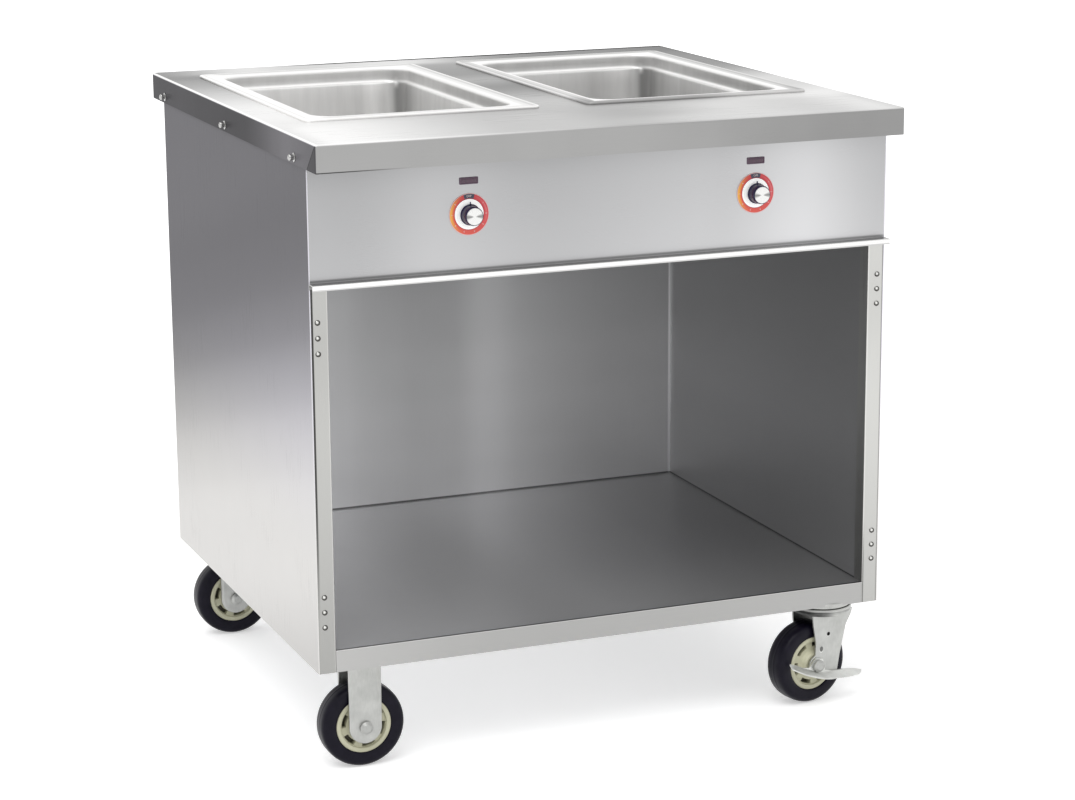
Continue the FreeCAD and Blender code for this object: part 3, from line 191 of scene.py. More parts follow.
def sheet_steel(name, level, along, tint=WARM, sheen=0.3, metal=0.95, grain_depth=0.022, cloud_depth=0.02):
    """Satin sheet. Its grey is a rule of place, plus fine grain drawn out along one axis and faint clouds.
    Its tint is one colour, or a rule of place too."""
    finish = Finish(name)
    x, y, z = finish.place()
    tint = tint(x, y, z) if callable(tint) else tint
    grain = finish.noise([12 if axis == along else 1400 for axis in "xyz"])
    clouds = finish.noise(9)
    grey = level(x, y, z) + (grain - 0.5) * grain_depth + (clouds - 0.5) * cloud_depth
    finish.wear(Base_Color=finish.lit(grey, tint), Metallic=metal,
                Roughness=(grain - 0.5) * 0.12 + (clouds - 0.5) * 0.08 + sheen)
    finish.relief(grain, 0.04, 0.0003)
    return finish


def dress(finish, *names):
    """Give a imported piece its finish."""
    for name in names:
        nodes[name].data.materials.clear()
        nodes[name].data.materials.append(finish.material)


def worktop_grey(x, y, z):
    """Each strip of the top round the wells has its own run of light, and each side of the apron another."""
    front = x.graded([(-0.445, 228), (-0.41, 246), (-0.3, 224), (-0.172, 191), (-0.047, 186), (0.072, 167),
                      (0.2, 207), (0.32, 201), (0.36, 208), (0.415, 222), (0.445, 205)])
    back = x.graded([(-0.445, 130), (-0.326, 212), (-0.204, 203), (-0.02, 215), (0.146, 126), (0.331, 116),
                     (0.445, 95)])
    left = y.graded([(-0.43, 236), (-0.258, 232), (-0.036, 234), (0.186, 178), (0.3, 140), (0.367, 119),
                     (0.43, 112)])
    middle = y.graded([(-0.26, 180), (-0.126, 182), (0.025, 128), (0.12, 160), (0.2, 136), (0.322, 150),
                       (0.36, 160)])
    right = y.graded([(-0.43, 188), (-0.387, 199), (-0.264, 234), (-0.134, 209), (-0.02, 204), (0.123, 140),
                      (0.288, 121), (0.43, 105)])
    beside = left + (middle - left) * x.rise(-0.39, -0.1) + (right - middle) * x.rise(0.1, 0.39)
    top = beside + (front - beside) * (1 - y.rise(-0.3, -0.22)) + (back - beside) * y.rise(0.33, 0.38)
    top = top + x.near(0.1, 0.13) * (1 - y.rise(-0.4, -0.33)) * 0.09
    apron_front = x.graded([(-0.445, 155), (0.0, 154), (0.15, 149), (0.3, 139), (0.445, 139)])
    apron_side = y.graded([(-0.43, 105), (-0.384, 109), (-0.27, 113), (-0.12, 78), (0.09, 76), (0.262, 80),
                           (0.43, 80)])
    on_front = (1 - y.rise(-0.4295, -0.4285)).most(y.rise(0.4285, 0.4295))
    apron = apron_side + (apron_front - apron_side) * on_front
    past_mitre = y + 0.43 - (0.914 - z)
    corner = (1 - abs(past_mitre).rise(0.0004, 0.0016)) * 0.2 + (1 - past_mitre.rise(-0.001, 0.0005)) * 0.1
    apron = apron - corner * (1 - x.rise(-0.4445, -0.4435)) * (1 - y.rise(-0.3, -0.29))
    hem = (1 - z.rise(0.8748, 0.876)) * (1 - x.rise(-0.42, -0.3)) * on_front
    edge_left = 1 - x.rise(-0.4432, -0.442)
    edge_front = (1 - y.rise(-0.4282, -0.427)) * (1 - x.rise(-0.4, 0.1)) * 0.6
    # painted highlight: the left and front bends climb towards white
    bend = z.rise(0.9105, 0.9125) * edge_left.most(edge_front)
    face = apron - hem * 0.35 + (top - apron) * z.rise(0.911, 0.9132)
    return face + (1.0 - face) * bend - far_edge(x, y, z) * 0.6


def on_top(z):
    """0 on the apron, 1 on the top and a climb round the bend between them."""
    return z.rise(0.911, 0.9125)


def on_side(x, z):
    """1 on the left and right sides of the apron."""
    return abs(x).rise(0.4434, 0.4446) * (1 - on_top(z))


def far_edge(x, y, z):
    """The dark line along the far edges of the top, where they turn down out of the light."""
    behind = y.rise(0.4145, 0.4165) * x.rise(-0.26, -0.12) * (1 - x.rise(0.15, 0.4) * 0.5)
    beside = x.rise(0.4395, 0.441) * y.rise(-0.05, 0.1)
    return behind.most(beside) * on_top(z)


def worktop_tint(x, y, z):
    """Blue on the sides of the apron, which face the room's shade, and neutral on the rest."""
    return x.finish.blend(on_side(x, z), (1.0, 0.996, 0.988), (0.96, 0.935, 1.0))


worktop_steel = sheet_steel("worktop_steel", worktop_grey, "x", tint=worktop_tint, cloud_depth=0.05)
x, y, z = worktop_steel.place()
worktop_steel.wear(Metallic=0.95 - on_top(z) * 0.35 - on_side(x, z) * 0.75 - far_edge(x, y, z) * 0.6,
                   Specular_IOR_Level=0)
dress(worktop_steel, "top_deck")


# --- Wells ------------------------------------------------
# Two drawn stainless pans that drop through the worktop and hang on a raised rim. Below the rim
# the throat goes straight down to a narrow step, and from there the walls taper to a dished floor.

MM = 0.001
TOP_HEIGHT = 914
WELL_CENTRES = {"left": (-215, 60), "right": (215, 60)}
WELL_HALF = (178.5, 281)


def rounded_rings(half_x, half_y, corner, bend_steps=8, side_steps=(12, 12)):
    """Rounded rectangles, one for each entry of the arrays: a quarter circle about the middle of each
    corner, and straight sides between the quarters, cut into equal steps. Rings by points by 2."""
    half = np.stack(np.broadcast_arrays(half_x, half_y), axis=-1).astype(float)[:, None, :]
    corner = np.broadcast_to(corner, half.shape[:1]).astype(float)[:, None, None]
    turns = np.linspace(0, np.pi / 2, bend_steps + 1)
    arcs = []
    for quarter, sign in enumerate(((1, 1), (-1, 1), (-1, -1), (1, -1))):
        angle = turns + quarter * np.pi / 2
        arcs.append(np.array(sign) * (half - corner) + corner * np.stack((np.cos(angle), np.sin(angle)), axis=-1))
    runs = []
    for arc, following, steps in zip(arcs, arcs[1:] + arcs[:1], side_steps * 2):
        share = np.arange(1, steps)[:, None] / steps
        start, end = arc[:, -1:], following[:, :1]
        runs += [arc, start + (end - start) * share]
    return np.concatenate(runs, axis=1)


def lifted(rings, heights):
    """Flat rings with a height each, as points in space."""
    heights = np.broadcast_to(np.asarray(heights, float)[:, None], rings.shape[:2])
    return np.concatenate((rings, heights[..., None]), axis=-1)


def capped(grid):
    """A grid of rings with a point at the middle of its first and of its last ring, which closes both ends."""
    ends = [np.broadcast_to(ring.mean(axis=0), ring.shape)[None] for ring in (grid[0], grid[-1])]
    return np.concatenate((ends[0], grid, ends[1]))


def shell(name, grids, loop=False, marks=None, sharp=35, outward=True):
    """A mesh of quads between neighbouring points of one grid or more. Columns go round, rows go along,
    and with loop the last row meets the first. Points that share a place are welded."""
    grids = grids if isinstance(grids, list) else [grids]
    points, quads, start = [], [], 0
    for grid in grids:
        rows, columns = grid.shape[:2]
        index = np.arange(rows * columns).reshape(rows, columns) + start
        following = np.roll(index, -1, axis=0) if loop else index[1:]
        here = index if loop else index[:-1]
        quads.append(np.stack((here, np.roll(here, -1, axis=1), np.roll(following, -1, axis=1), following),
                              axis=-1).reshape(-1, 4))
        points.append(grid.reshape(-1, 3))
        start += rows * columns
    mesh = bpy.data.meshes.new(name)
    mesh.from_pydata(np.concatenate(points) * MM, [], np.concatenate(quads).tolist())
    for mark, values in (marks or {}).items():
        mesh.attributes.new(mark, "FLOAT", "POINT").data.foreach_set("value", np.ravel(values).astype(np.float32))
    work = bmesh.new()
    work.from_mesh(mesh)
    bmesh.ops.remove_doubles(work, verts=work.verts, dist=1e-6)
    if outward:
        bmesh.ops.recalc_face_normals(work, faces=work.faces)
    work.to_mesh(mesh)
    work.free()
    mesh.polygons.foreach_set("use_smooth", np.ones(len(mesh.polygons), bool))
    mesh.set_sharp_from_angle(angle=math.radians(sharp))
    return placed(name, mesh)


def fit(piece, finish, slot, body, *replaced):
    """Give a new piece its finish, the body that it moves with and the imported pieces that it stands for."""
    piece.data.materials.append(finish.material)
    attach(piece, body)
    if replaced:
        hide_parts(*replaced)
    return piece


def well_grid(centre):
    """The pan's upper face, as rings that follow a section from the rim's outer edge, over the bead and down
    the throat, in over the step, down the tapered wall, round the bend and in to the middle of the floor. At
    the corners the step and the upper wall are drawn more upright than along the sides."""
    roll = np.linspace(0, np.pi / 2, 6)
    section = [(0, 0.1), *zip(1.6 - 1.6 * np.cos(roll), 2.2 + 1.6 * np.sin(roll)),
               (4.4, 3.7), (6.0, 3.0), (8.0, 2.9), (15, 3.0), (22.6, 3.1),
               *zip(22.8 + 3.2 * np.sin(roll), -0.1 + 3.2 * np.cos(roll)),
               (26.0, -9), (26.2, -17.0), (26.9, -18.9), (28.2, -19.8), (29.8, -20.4), (30.8, -21.6), (31.1, -23.5),
               (31.6, -45), (33.5, -95), (35.7, -145),
               *zip(48 - 12 * np.cos(roll), -147.2 - 11.6 * np.sin(roll)),
               (56, -158.9), (80, -159.2), (110, -159.5), (140, -159.8), (160, -159.9)]
    inset, height = np.array(section).T
    corner = np.interp(inset, (0, 2, 26, 31, 36, 48, 160), (10, 11, 38, 34, 30, 24, 8))
    upright = np.where((inset > 26.5) & (inset < 36), 26.4 + (inset - 26.5) * 0.55, inset)
    rings, plain = (rounded_rings(*(half - depth for half in WELL_HALF), corner) for depth in (inset, upright))
    corners = np.tile(np.concatenate((np.sin(np.linspace(0, np.pi, 9)) ** 0.5, np.zeros(11))), 4)[None, :, None]
    rings = rings + (plain - rings) * corners
    closing = np.zeros((1, *rings.shape[1:]))
    return lifted(np.concatenate((rings, closing)) + centre, np.append(height, -160.0) + TOP_HEIGHT)


def well_grey(x, y, z):
    """Painted highlights on the bead round a greyer rim and along the step, a grey throat, and soft walls with
    painted shade that darkens towards the far right corner, where the corner dimple has a painted glint and painted
    shade. The rim is painted lighter at the left well's left side and darker on the right well's outer edge towards
    the front. The right well is painted darker, as in a calmer light than the left one."""
    across = x + 0.215 - x.rise(-0.01, 0.01) * 0.43
    inset = 0 - (abs(across) - 0.1785).most(abs(y - 0.06) - 0.281)
    second = x.rise(-0.01, 0.01)
    flat = inset.graded([(0.0, 248), (0.0032, 246), (0.0062, 212), (0.012, 232), (0.018, 236), (0.0225, 252),
                         (0.028, 252)])
    front_of_second = (1 - y.rise(-0.22, -0.12)) * second * (1 - x.rise(0.2, 0.3) * 0.65)
    outer_part = 1 - inset.rise(0.016, 0.021)
    left_side = (1 - across.rise(-0.165, -0.14)) * (1 - second)
    rim = flat - outer_part * second * 0.08 - outer_part * front_of_second * 0.25 + left_side * 0.1
    back_wall = across.graded([(-0.15, 228), (0.0, 224), (0.07, 218), (0.095, 242), (0.112, 246),
                               (0.128, 226), (0.15, 216)])
    right_wall = y.graded([(-0.22, 232), (0.05, 224), (0.22, 206), (0.31, 176)])
    wall = back_wall + (right_wall - back_wall) * across.rise(0.132, 0.14)
    smears = x.finish.noise((50, 50, 5), 3.0)
    wall = wall + (smears - 0.5) * 0.12 - second * 0.05
    throat = y.graded([(-0.22, 190), (0.1, 194), (0.34, 206)]) + (smears - 0.5) * 0.1 - second * 0.03
    inside = wall + (throat - wall) * z.rise(0.893, 0.896)
    # painted glint and painted shade at the corner dimple, and a painted highlight along the step
    dimple_shade = across.near(0.137, 0.022) * y.near(0.3, 0.03)
    glint = across.near(0.137, 0.006) * y.near(0.3, 0.01) * z.near(0.893, 0.012)
    step = z.near(0.8955, 0.0042) * (1 - dimple_shade * 0.75)
    inside = inside + (1.0 - inside) * step.most(glint) - dimple_shade * (1 - glint) * 0.1
    return inside + (rim - inside) * z.rise(0.9105, 0.9145)


well_steel = sheet_steel("well_steel", well_grey, "z", sheen=0.34, metal=0.6).wear(Specular_IOR_Level=0)
for side, centre in WELL_CENTRES.items():
    well = shell(f"well_pan_{side}", well_grid(centre), outward=False, sharp=60)
    wall = well.modifiers.new("wall", "SOLIDIFY")
    wall.thickness = 1.2 * MM
    wall.offset = -1
    fit(well, well_steel, "well_steel", "cabinet", f"well_{side}")


# --- Heater boxes -----------------------------------------
# Under each well hang a galvanised jacket, a blanket of glass fibre and a sheathed element bent
# four legs wide. They show only past the edge of the back panel and from below.

# each crystal of the zinc has its own grey, with a dull bloom over it
zinc_dipped = Finish("galvanised_sheet")
spot = zinc_dipped.node("TexCoord", output="Object")
crystals = zinc_dipped.node("TexVoronoi", values={"Vector": spot, "Scale": 55.0}, output=1)
bloom = zinc_dipped.noise(30, 4.0)
zinc_dipped.wear(Base_Color=zinc_dipped.lit(crystals * 0.16 + bloom * 0.14 + 0.5, (0.97, 1.0, 1.02)),
                 Metallic=0.85, Roughness=crystals * 0.2 + 0.36)
zinc_dipped.relief(bloom, 0.1, 0.0004)
dress(zinc_dipped, "well_jacket_left", "well_jacket_right", "castor_channels", "rear_posts")

fibre = Finish("glass_fibre")
strands = fibre.noise((120, 120, 40), 5.0)
fibre.wear(Base_Color=fibre.blend(strands.rise(0.3, 0.7), (0.62, 0.52, 0.22), (0.86, 0.79, 0.5)), Roughness=0.95)
fibre.relief(strands, 0.6, 0.002)
dress(fibre, "insulation_left", "insulation_right")

sheath = Finish("element_sheath")
scale = sheath.noise(90, 4.0)
sheath.wear(Base_Color=sheath.blend(scale.rise(0.35, 0.65), (0.05, 0.045, 0.045), (0.14, 0.11, 0.1)),
            Metallic=0.6, Roughness=scale * 0.2 + 0.45)
dress(sheath, "heating_element_left", "heating_element_right")


# --- Control panel and ledge ------------------------------
# A folded sheet closes the front under the worktop. A narrow bright ledge, bent from its own strip,
# runs the full width along its lower edge over the open bay, with a shadow line above it.

def panel_grey(x, y, z):
    """Soft upright bands of light, a little darker towards the worktop, with a shadow over the ledge."""
    bands = x.graded([(-0.443, 167), (-0.36, 167), (-0.256, 178), (-0.119, 169), (0.003, 173), (0.125, 180),
                      (0.2, 183), (0.307, 198), (0.384, 185), (0.443, 174)])
    face = bands - (z - 0.79) * 0.3 - z.rise(0.825, 0.9) * 0.035
    return face - z.near(0.7185, 0.0028) * 0.16


dress(sheet_steel("panel_steel", panel_grey, "x", tint=COOL, grain_depth=0.016), "control_panel")


def ledge_grey(x, y, z):
    """Nearly white along the lip with painted shade at its foot, painted shade on the narrow top, and a dark line
    where the top meets the panel.
    """
    lip = x.graded([(-0.443, 236), (0.0, 230), (0.443, 226)]) - (1 - z.rise(0.7092, 0.7104)) * 0.16
    top = lip - 0.26 - y.near(-0.3845, 0.0022) * 0.25
    return lip + (top - lip) * y.rise(-0.3965, -0.3952)


dress(sheet_steel("ledge_steel", ledge_grey, "x", sheen=0.25), "front_ledge")


# --- Side and back panels ---------------------------------
# Flat sheets of satin steel close both sides and the back. The sides carry a painted reflection of the
# room's slope from dark above to bright below, and a painted highlight along their front edges as a thin
# upright line.

def side_grey(x, y, z):
    """A painted reflection, dark and slightly blue above and bright below, on a slope that rises towards the front,
    with a painted highlight along the front edge.
    """
    slope = (z + y * 0.27).graded([(0.05, 202), (0.16, 218), (0.26, 220), (0.345, 213), (0.44, 186),
                                   (0.53, 147), (0.61, 121), (0.7, 109), (0.8, 111), (0.93, 110)])
    return slope + (0.9 - slope) * (1 - y.rise(-0.3797, -0.3793))


def back_grey(x, y, z):
    """Painted light: a gentle climb from grey at the top to light at the foot."""
    return (z + x * 0.1).graded([(0.1, 205), (0.4, 190), (0.7, 165), (0.95, 150)])


def side_tint(x, y, z):
    """Blue in the dark upper part of the painted reflection and neutral in its bright lower one."""
    return x.finish.blend(z.rise(0.3, 0.6), (1.0, 0.985, 0.965), (0.95, 0.932, 1.0))


side_steel = sheet_steel("side_steel", side_grey, "z", tint=side_tint, metal=0.2, grain_depth=0.012)
dress(side_steel.wear(Specular_IOR_Level=0), "side_panel_left", "side_panel_right")
dress(sheet_steel("back_steel", back_grey, "z"), "back_panel")


# --- Front posts and rivets -------------------------------
# A folded channel frames each side of the open bay, held by two groups of three dome-headed blind
# rivets of plain steel.

def post_grey(x, y, z):
    """Painted light on the face, with a dark joint beside the side panel, a painted highlight on the inner bend, a
    dark seam low on it, and painted shade on the faces behind the front.
    """
    face = z.graded([(0.156, 160), (0.3, 170), (0.5, 178), (0.62, 172), (0.708, 176)])
    face = face + x.rise(-0.4, 0.4) * 0.06
    joint = (1 - x.rise(-0.4392, -0.438)) * z.rise(0.2, 0.45) * 0.42 + x.rise(0.4395, 0.4405) * 0.12
    inner = 1 - abs(x).rise(0.418, 0.4195)
    seam = x.near(0.4185, 0.0014) * (1 - z.rise(0.2, 0.3)) * 0.35
    face = face - joint + inner * 0.08 - seam
    return face + (0.62 - face) * y.rise(-0.3788, -0.378)


dress(sheet_steel("post_steel", post_grey, "z", tint=(1.0, 0.999, 0.965)), "front_post_left", "front_post_right")


def turned(radii, heights, middle, axis=(0, 0, 1), steps=40):
    """Surface of revolution: each point of the section, a radius and a height along the axis, goes round
    the axis in equal steps. A radius may also change from step to step."""
    along = np.array(axis, float) / np.linalg.norm(axis)
    across = np.cross(along, (0, 0, 1)) if abs(along[2]) < 0.9 else np.array((1.0, 0, 0))
    across /= np.linalg.norm(across)
    beside = np.cross(along, across)
    angle = np.linspace(0, 2 * np.pi, steps, endpoint=False)
    radii = np.asarray(radii, float)
    radii = radii[:, None] if radii.ndim == 1 else radii
    heights = np.asarray(heights, float)
    heights = heights[:, None] if heights.ndim == 1 else heights
    ring = np.cos(angle)[:, None] * across + np.sin(angle)[:, None] * beside
    return np.array(middle, float) + radii[..., None] * ring + heights[..., None] * along


def bright_steel(name, level=200, sheen=0.28):
    """Bare bright steel with faint handling marks."""
    finish = Finish(name)
    marks = finish.noise(260, 4.0)
    finish.wear(Base_Color=finish.lit(marks * 0.12 + (level / 255 - 0.06), (1.0, 0.995, 0.98)), Metallic=0.95,
                Roughness=marks * 0.16 + (sheen - 0.08))
    finish.relief(marks, 0.08, 0.0003)
    return finish


# each dome carries a painted highlight up and to the left of its middle and painted shade on its flanks
rivet_steel = Finish("rivet_steel")
flank = rivet_steel.node("Attribute", {"attribute_name": "flank"}, output="Fac")
marks = rivet_steel.noise(600)
rivet_steel.wear(Base_Color=rivet_steel.blend(flank.rise(0.15, 0.75) * 0.92 + marks * 0.08, (0.85, 0.85, 0.82),
                                              (0.035, 0.033, 0.03)), Metallic=0.85, Roughness=marks * 0.1 + 0.16)
FRONT_FACE = -380
RIVET_RADIUS = 4
domes, flank_shades = [], []
for x in (-432, 432):
    for z in (617, 639, 661, 224, 246, 268):
        dome = turned((0, RIVET_RADIUS, RIVET_RADIUS, 3.8, 3.3, 2.5, 1.4, 0),
                      (0.1, 0.1, 0.5, 1.0, 1.55, 1.95, 2.15, 2.2), (x, FRONT_FACE, z), (0, -1, 0), 24)
        domes.append(dome)
        flank_shades.append(np.hypot(dome[..., 0] - x + 1.1, dome[..., 2] - z - 1.2).ravel() / RIVET_RADIUS)
fit(shell("rivet_domes", domes, marks={"flank": np.concatenate(flank_shades)}), rivet_steel, "fastener", "cabinet",
    "post_rivets")


# --- Storage bay ------------------------------------------
# Thin satin liners close the sides and the back of the open bay over a flat shelf, whose front edge
# is folded down. Soft light and shade are painted over them. The joints show as fine dark lines, and the
# back right corner as a bright line of painted highlight.

def liner_back_grey(x, y, z):
    """Painted shade that falls off from left to right, with one soft band, and lighter lower down. Its right edge
    carries a painted highlight and its joint with the shelf is dark."""
    wall = x.graded([(-0.417, 191), (-0.165, 165), (-0.071, 150), (-0.015, 150), (0.03, 157), (0.06, 171),
                     (0.095, 177), (0.135, 171), (0.195, 170), (0.417, 175)])
    wall = wall - 0.063 + z.graded([(0.15, 76), (0.22, 64), (0.28, 54), (0.36, 38), (0.45, 21), (0.54, 8),
                                    (0.62, 0)])
    return wall + x.rise(0.4125, 0.4138) * 0.22 - (1 - z.rise(0.1895, 0.191)) * 0.4


def liner_side_grey(x, y, z):
    """Grey with painted light, a little lighter lower down and towards the back, with a dark joint at the shelf."""
    wall = z.graded([(0.19, 182), (0.25, 170), (0.33, 163), (0.4, 163), (0.5, 156), (0.6, 156)])
    return wall + y.rise(-0.38, 0.32) * 0.03 - (1 - z.rise(0.1895, 0.191)) * 0.3


def shelf_grey(x, y, z):
    """The floor is painted with shade that falls off from left to right, with a dark line behind its lighter front
    fold, whose top edge carries a painted highlight.
    """
    floor = x.graded([(-0.417, 255), (-0.3, 254), (-0.2, 240), (-0.1, 224), (0.03, 228), (0.2, 204),
                      (0.3, 186), (0.417, 172)])
    floor = floor - (1 - y.rise(-0.3765, -0.3735)) * 0.5
    fold = x.graded([(-0.417, 178), (-0.24, 168), (0.0, 165), (0.417, 168)]) + z.rise(0.1868, 0.1876) * 0.2
    return floor + (fold - floor) * (1 - y.rise(-0.3792, -0.3784))


def shelf_tint(x, y, z):
    """Faintly blue inside the bay, and warmer on the front fold."""
    return x.finish.blend(y.rise(-0.3792, -0.3784), (1.0, 0.996, 0.978), (0.985, 0.986, 1.0))


dress(sheet_steel("liner_back_steel", liner_back_grey, "z", tint=COOL, metal=0.85, sheen=0.38), "liner_back")
dress(sheet_steel("liner_side_steel", liner_side_grey, "z", tint=COOL, metal=0.85, sheen=0.38),
      "liner_left", "liner_right")
dress(sheet_steel("shelf_steel", shelf_grey, "x", tint=shelf_tint, metal=0.85, sheen=0.36), "bottom_shelf")
dress(sheet_steel("ceiling_steel", lambda x, y, z: x.graded([(-0.42, 170), (0.42, 160)]), "x"),
      "bay_ceiling")


# --- Dials and pilot lamps --------------------------------
# Each well has a round enamelled dial plate, printed with a ring that warms from yellow to red and
# an OFF field at the top, and above it a small dark red lens in the panel.

DIALS = {"left": -209, "right": 231}
DIAL_HEIGHT = 796
DIAL_RADIUS = 29.5
PRINT_RADIUS = 25.2
LAMP_HEIGHT = 843


def planar_uv(piece, middle, reach):
    """The piece's own map: across and up from its middle on the panel, in shares of a reach."""
    points = np.empty(len(piece.data.loops) * 2)
    spots = np.array([piece.data.vertices[loop.vertex_index].co[:] for loop in piece.data.loops]) / MM
    points[0::2] = (spots[:, 0] - middle[0]) / reach
    points[1::2] = (spots[:, 2] - middle[1]) / reach
    piece.data.uv_layers.new(name="face").data.foreach_set("uv", points)


def polar(finish):
    """Radius and angle on the piece's own map. The angle is 0 at the top, grows clockwise and ends at 1."""
    spot = finish.node("UVMap", {"uv_map": "face"})
    axes = finish.node("SeparateXYZ", values={0: spot}).socket.node
    across, rise = (Reading(finish, axes.outputs[index]) for index in range(2))
    radius = (across * across + rise * rise) ** 0.5
    turn = finish.node("Math", {"operation": "ARCTAN2"}, {0: 0 - across, 1: 0 - rise}) / (2 * math.pi) + 0.5
    return radius, turn


enamel = Finish("dial_enamel")
radius, turn = polar(enamel)
warmth = enamel.blend(turn.near(0.5, 0.3), (0.68, 0.02, 0.035), (0.78, 0.07, 0.045))
amber = enamel.blend(radius.rise(0.76, 0.92), (0.8, 0.06, 0.02), (0.95, 0.46, 0.04))
warmth = enamel.blend(turn.near(0.75, 0.22), warmth, amber)
# a painted highlight in pale pink on the upper right of the ring
ring_glint = radius.near(0.87, 0.08) * turn.near(0.2, 0.2) * 0.3
warmth = enamel.blend(ring_glint, warmth, (1.0, 0.4, 0.42))
from_top = 0.5 - abs(turn - 0.5)
ring = enamel.blend(from_top.rise(0.045, 0.05), (0.03, 0.032, 0.07), warmth)
printed = enamel.blend(radius.rise(0.96, 0.975), ring, (0.8, 0.5, 0.48))
white = enamel.blend(radius.near(0.6, 0.05) * turn.near(0.68, 0.2) * 0.6, (1.0, 1.0, 0.99), (0.62, 0.7, 0.63))
centre = enamel.blend(radius.rise(0.715, 0.725), white, (0.3, 0.02, 0.03))
speckle = enamel.noise(900)
in_ring = radius.rise(0.745, 0.76)
# the white centre glows faintly: painted light that keeps it white in the knob's shade
enamel.wear(Base_Color=enamel.blend(in_ring, centre, printed),
            Emission_Color=enamel.blend(in_ring, centre, (0, 0, 0)), Emission_Strength=0.25,
            Coat_Weight=0.5, Coat_Roughness=0.12, Roughness=speckle * 0.1 + 0.25)

pale_print = Finish("pale_print")
ink = pale_print.noise(2500)
pale_print.wear(Base_Color=pale_print.blend(ink, (0.78, 0.62, 0.6), (0.9, 0.8, 0.76)), Roughness=0.5)


def legend(name, words, size, clockwise, middle):
    """One word or number, printed on the ring so many degrees clockwise from the top."""
    curve = bpy.data.curves.new(name, "FONT")
    curve.body = words
    curve.size = size
    curve.align_x = curve.align_y = "CENTER"
    curve.extrude = 0.03
    curve.resolution_u = 3
    drawn = bpy.data.objects.new(name, curve)
    mesh = bpy.data.meshes.new_from_object(drawn)
    bpy.data.objects.remove(drawn)
    angle = math.radians(clockwise)
    mesh.transform(Matrix.Diagonal((MM, MM, MM, 1))
                   @ Matrix.Translation((middle + PRINT_RADIUS * math.sin(angle), FRONT_FACE - 0.86,
                                         DIAL_HEIGHT + PRINT_RADIUS * math.cos(angle)))
                   @ Matrix.Rotation(math.pi / 2, 4, "X") @ Matrix.Rotation(-angle, 4, "Z"))
    return placed(name, mesh)


for side, middle in DIALS.items():
    plate = shell(f"dial_face_{side}", turned((5.3, 28.9, 29.4, DIAL_RADIUS, 29.4, 5.3),
                                              (0.8, 0.8, 0.65, 0.4, 0.05, 0.05),
                                              (middle, FRONT_FACE, DIAL_HEIGHT), (0, -1, 0), 96), loop=True)
    planar_uv(plate, (middle, DIAL_HEIGHT), DIAL_RADIUS)
    fit(plate, enamel, "dial", "cabinet", f"dial_plate_{side}")
    fit(legend(f"dial_off_{side}", "OFF", 4.2, 0, middle), pale_print, "dial", "cabinet")
    for number in range(1, 9):
        mark = legend(f"dial_{number}_{side}", str(number), 3.6, 18 + number * 36, middle)
        fit(mark, pale_print, "dial", "cabinet")

lens = Finish("lamp_lens")
ribs = lens.node("TexWave", {"bands_direction": "X"},
                 {"Vector": lens.node("TexCoord", output="Object"), "Scale": 160.0, "Distortion": 0.0})
lens.wear(Base_Color=lens.blend(ribs, (0.03, 0.012, 0.03), (0.11, 0.03, 0.075)), Roughness=0.22, Coat_Weight=0.4)
bezel = Finish("lamp_bezel")
matt = bezel.noise(800)
bezel.wear(Base_Color=bezel.blend(matt, (0.09, 0.05, 0.085), (0.14, 0.085, 0.13)), Roughness=matt * 0.2 + 0.3)


def lamp_rings(middle, stations):
    """Rounded rectangles on the panel, each with half a width, half a height, a corner and a reach forward."""
    half_x, half_z, corner, reach = np.array(stations, float).T
    rings = rounded_rings(half_x, half_z, corner, 4, (4, 4))
    forward = np.broadcast_to((FRONT_FACE - reach)[:, None], rings.shape[:2])
    return np.stack((rings[..., 0] + middle, forward, rings[..., 1] + LAMP_HEIGHT), axis=-1)


frames, lenses = [], []
for middle in DIALS.values():
    frames.append(lamp_rings(middle, [(12.5, 3.5, 0.6, 0.3), (12.5, 3.5, 0.6, 1.1), (13.0, 4.0, 0.9, 1.2),
                                      (13.6, 4.6, 1.2, 1.05), (14, 5, 1.4, 0.6), (14, 5, 1.4, 0),
                                      (12.5, 3.5, 0.6, 0)]))
    lenses.append(capped(lamp_rings(middle, [(12.4, 3.4, 0.6, 0.1), (12.4, 3.4, 0.6, 0.7), (11.4, 2.6, 0.5, 0.95),
                                             (5, 1.2, 0.4, 1.05)])))
fit(shell("lamp_frames", frames, loop=True), bezel, "lamp", "cabinet", "pilot_lamps")
fit(shell("lamp_lenses", lenses), lens, "lamp", "cabinet")

case_plastic = Finish("switch_case")
cast = case_plastic.noise(200, 4.0)
case_plastic.wear(Base_Color=case_plastic.blend(cast, (0.48, 0.46, 0.4), (0.6, 0.58, 0.52)), Roughness=0.6)
dress(case_plastic, "thermostat_left", "thermostat_right")


# --- Knobs ------------------------------------------------
# A glossy black moulded knob sits on each switch shaft, with a small pointer fin on its skirt and
# a spun bright disc let into its face.

moulding = Finish("knob_moulding")
flow = moulding.noise(300, 3.0)
moulding.wear(Base_Color=moulding.blend(flow, (0.012, 0.011, 0.04), (0.026, 0.024, 0.085)), Coat_Weight=0.1,
              Roughness=flow * 0.15 + 0.22, Specular_IOR_Level=0.25)
moulding.relief(flow, 0.05, 0.0003)

spun = Finish("knob_disc")
radius, turn = polar(spun)
# the dark wedges at left and right are a painted reflection, the bow-tie of a spun disc; the rays are its grain
bow_tie_reflection = turn.near(0.25, 0.075).most(turn.near(0.75, 0.075)) * radius.rise(0.05, 0.4)
rays = spun.node("TexNoise", {"noise_dimensions": "1D"}, {"W": turn, "Scale": 60.0, "Detail": 2.0})
shine = 0.86 - bow_tie_reflection * 0.34 + (rays - 0.5) * 0.16 - radius.rise(0.93, 1.0) * 0.1
spun.wear(Base_Color=spun.lit(shine, (1.0, 1.0, 0.985)), Metallic=0.9, Roughness=rays * 0.15 + 0.2)

dress(bright_steel("shaft_steel"), "control_shaft_left", "control_shaft_right")

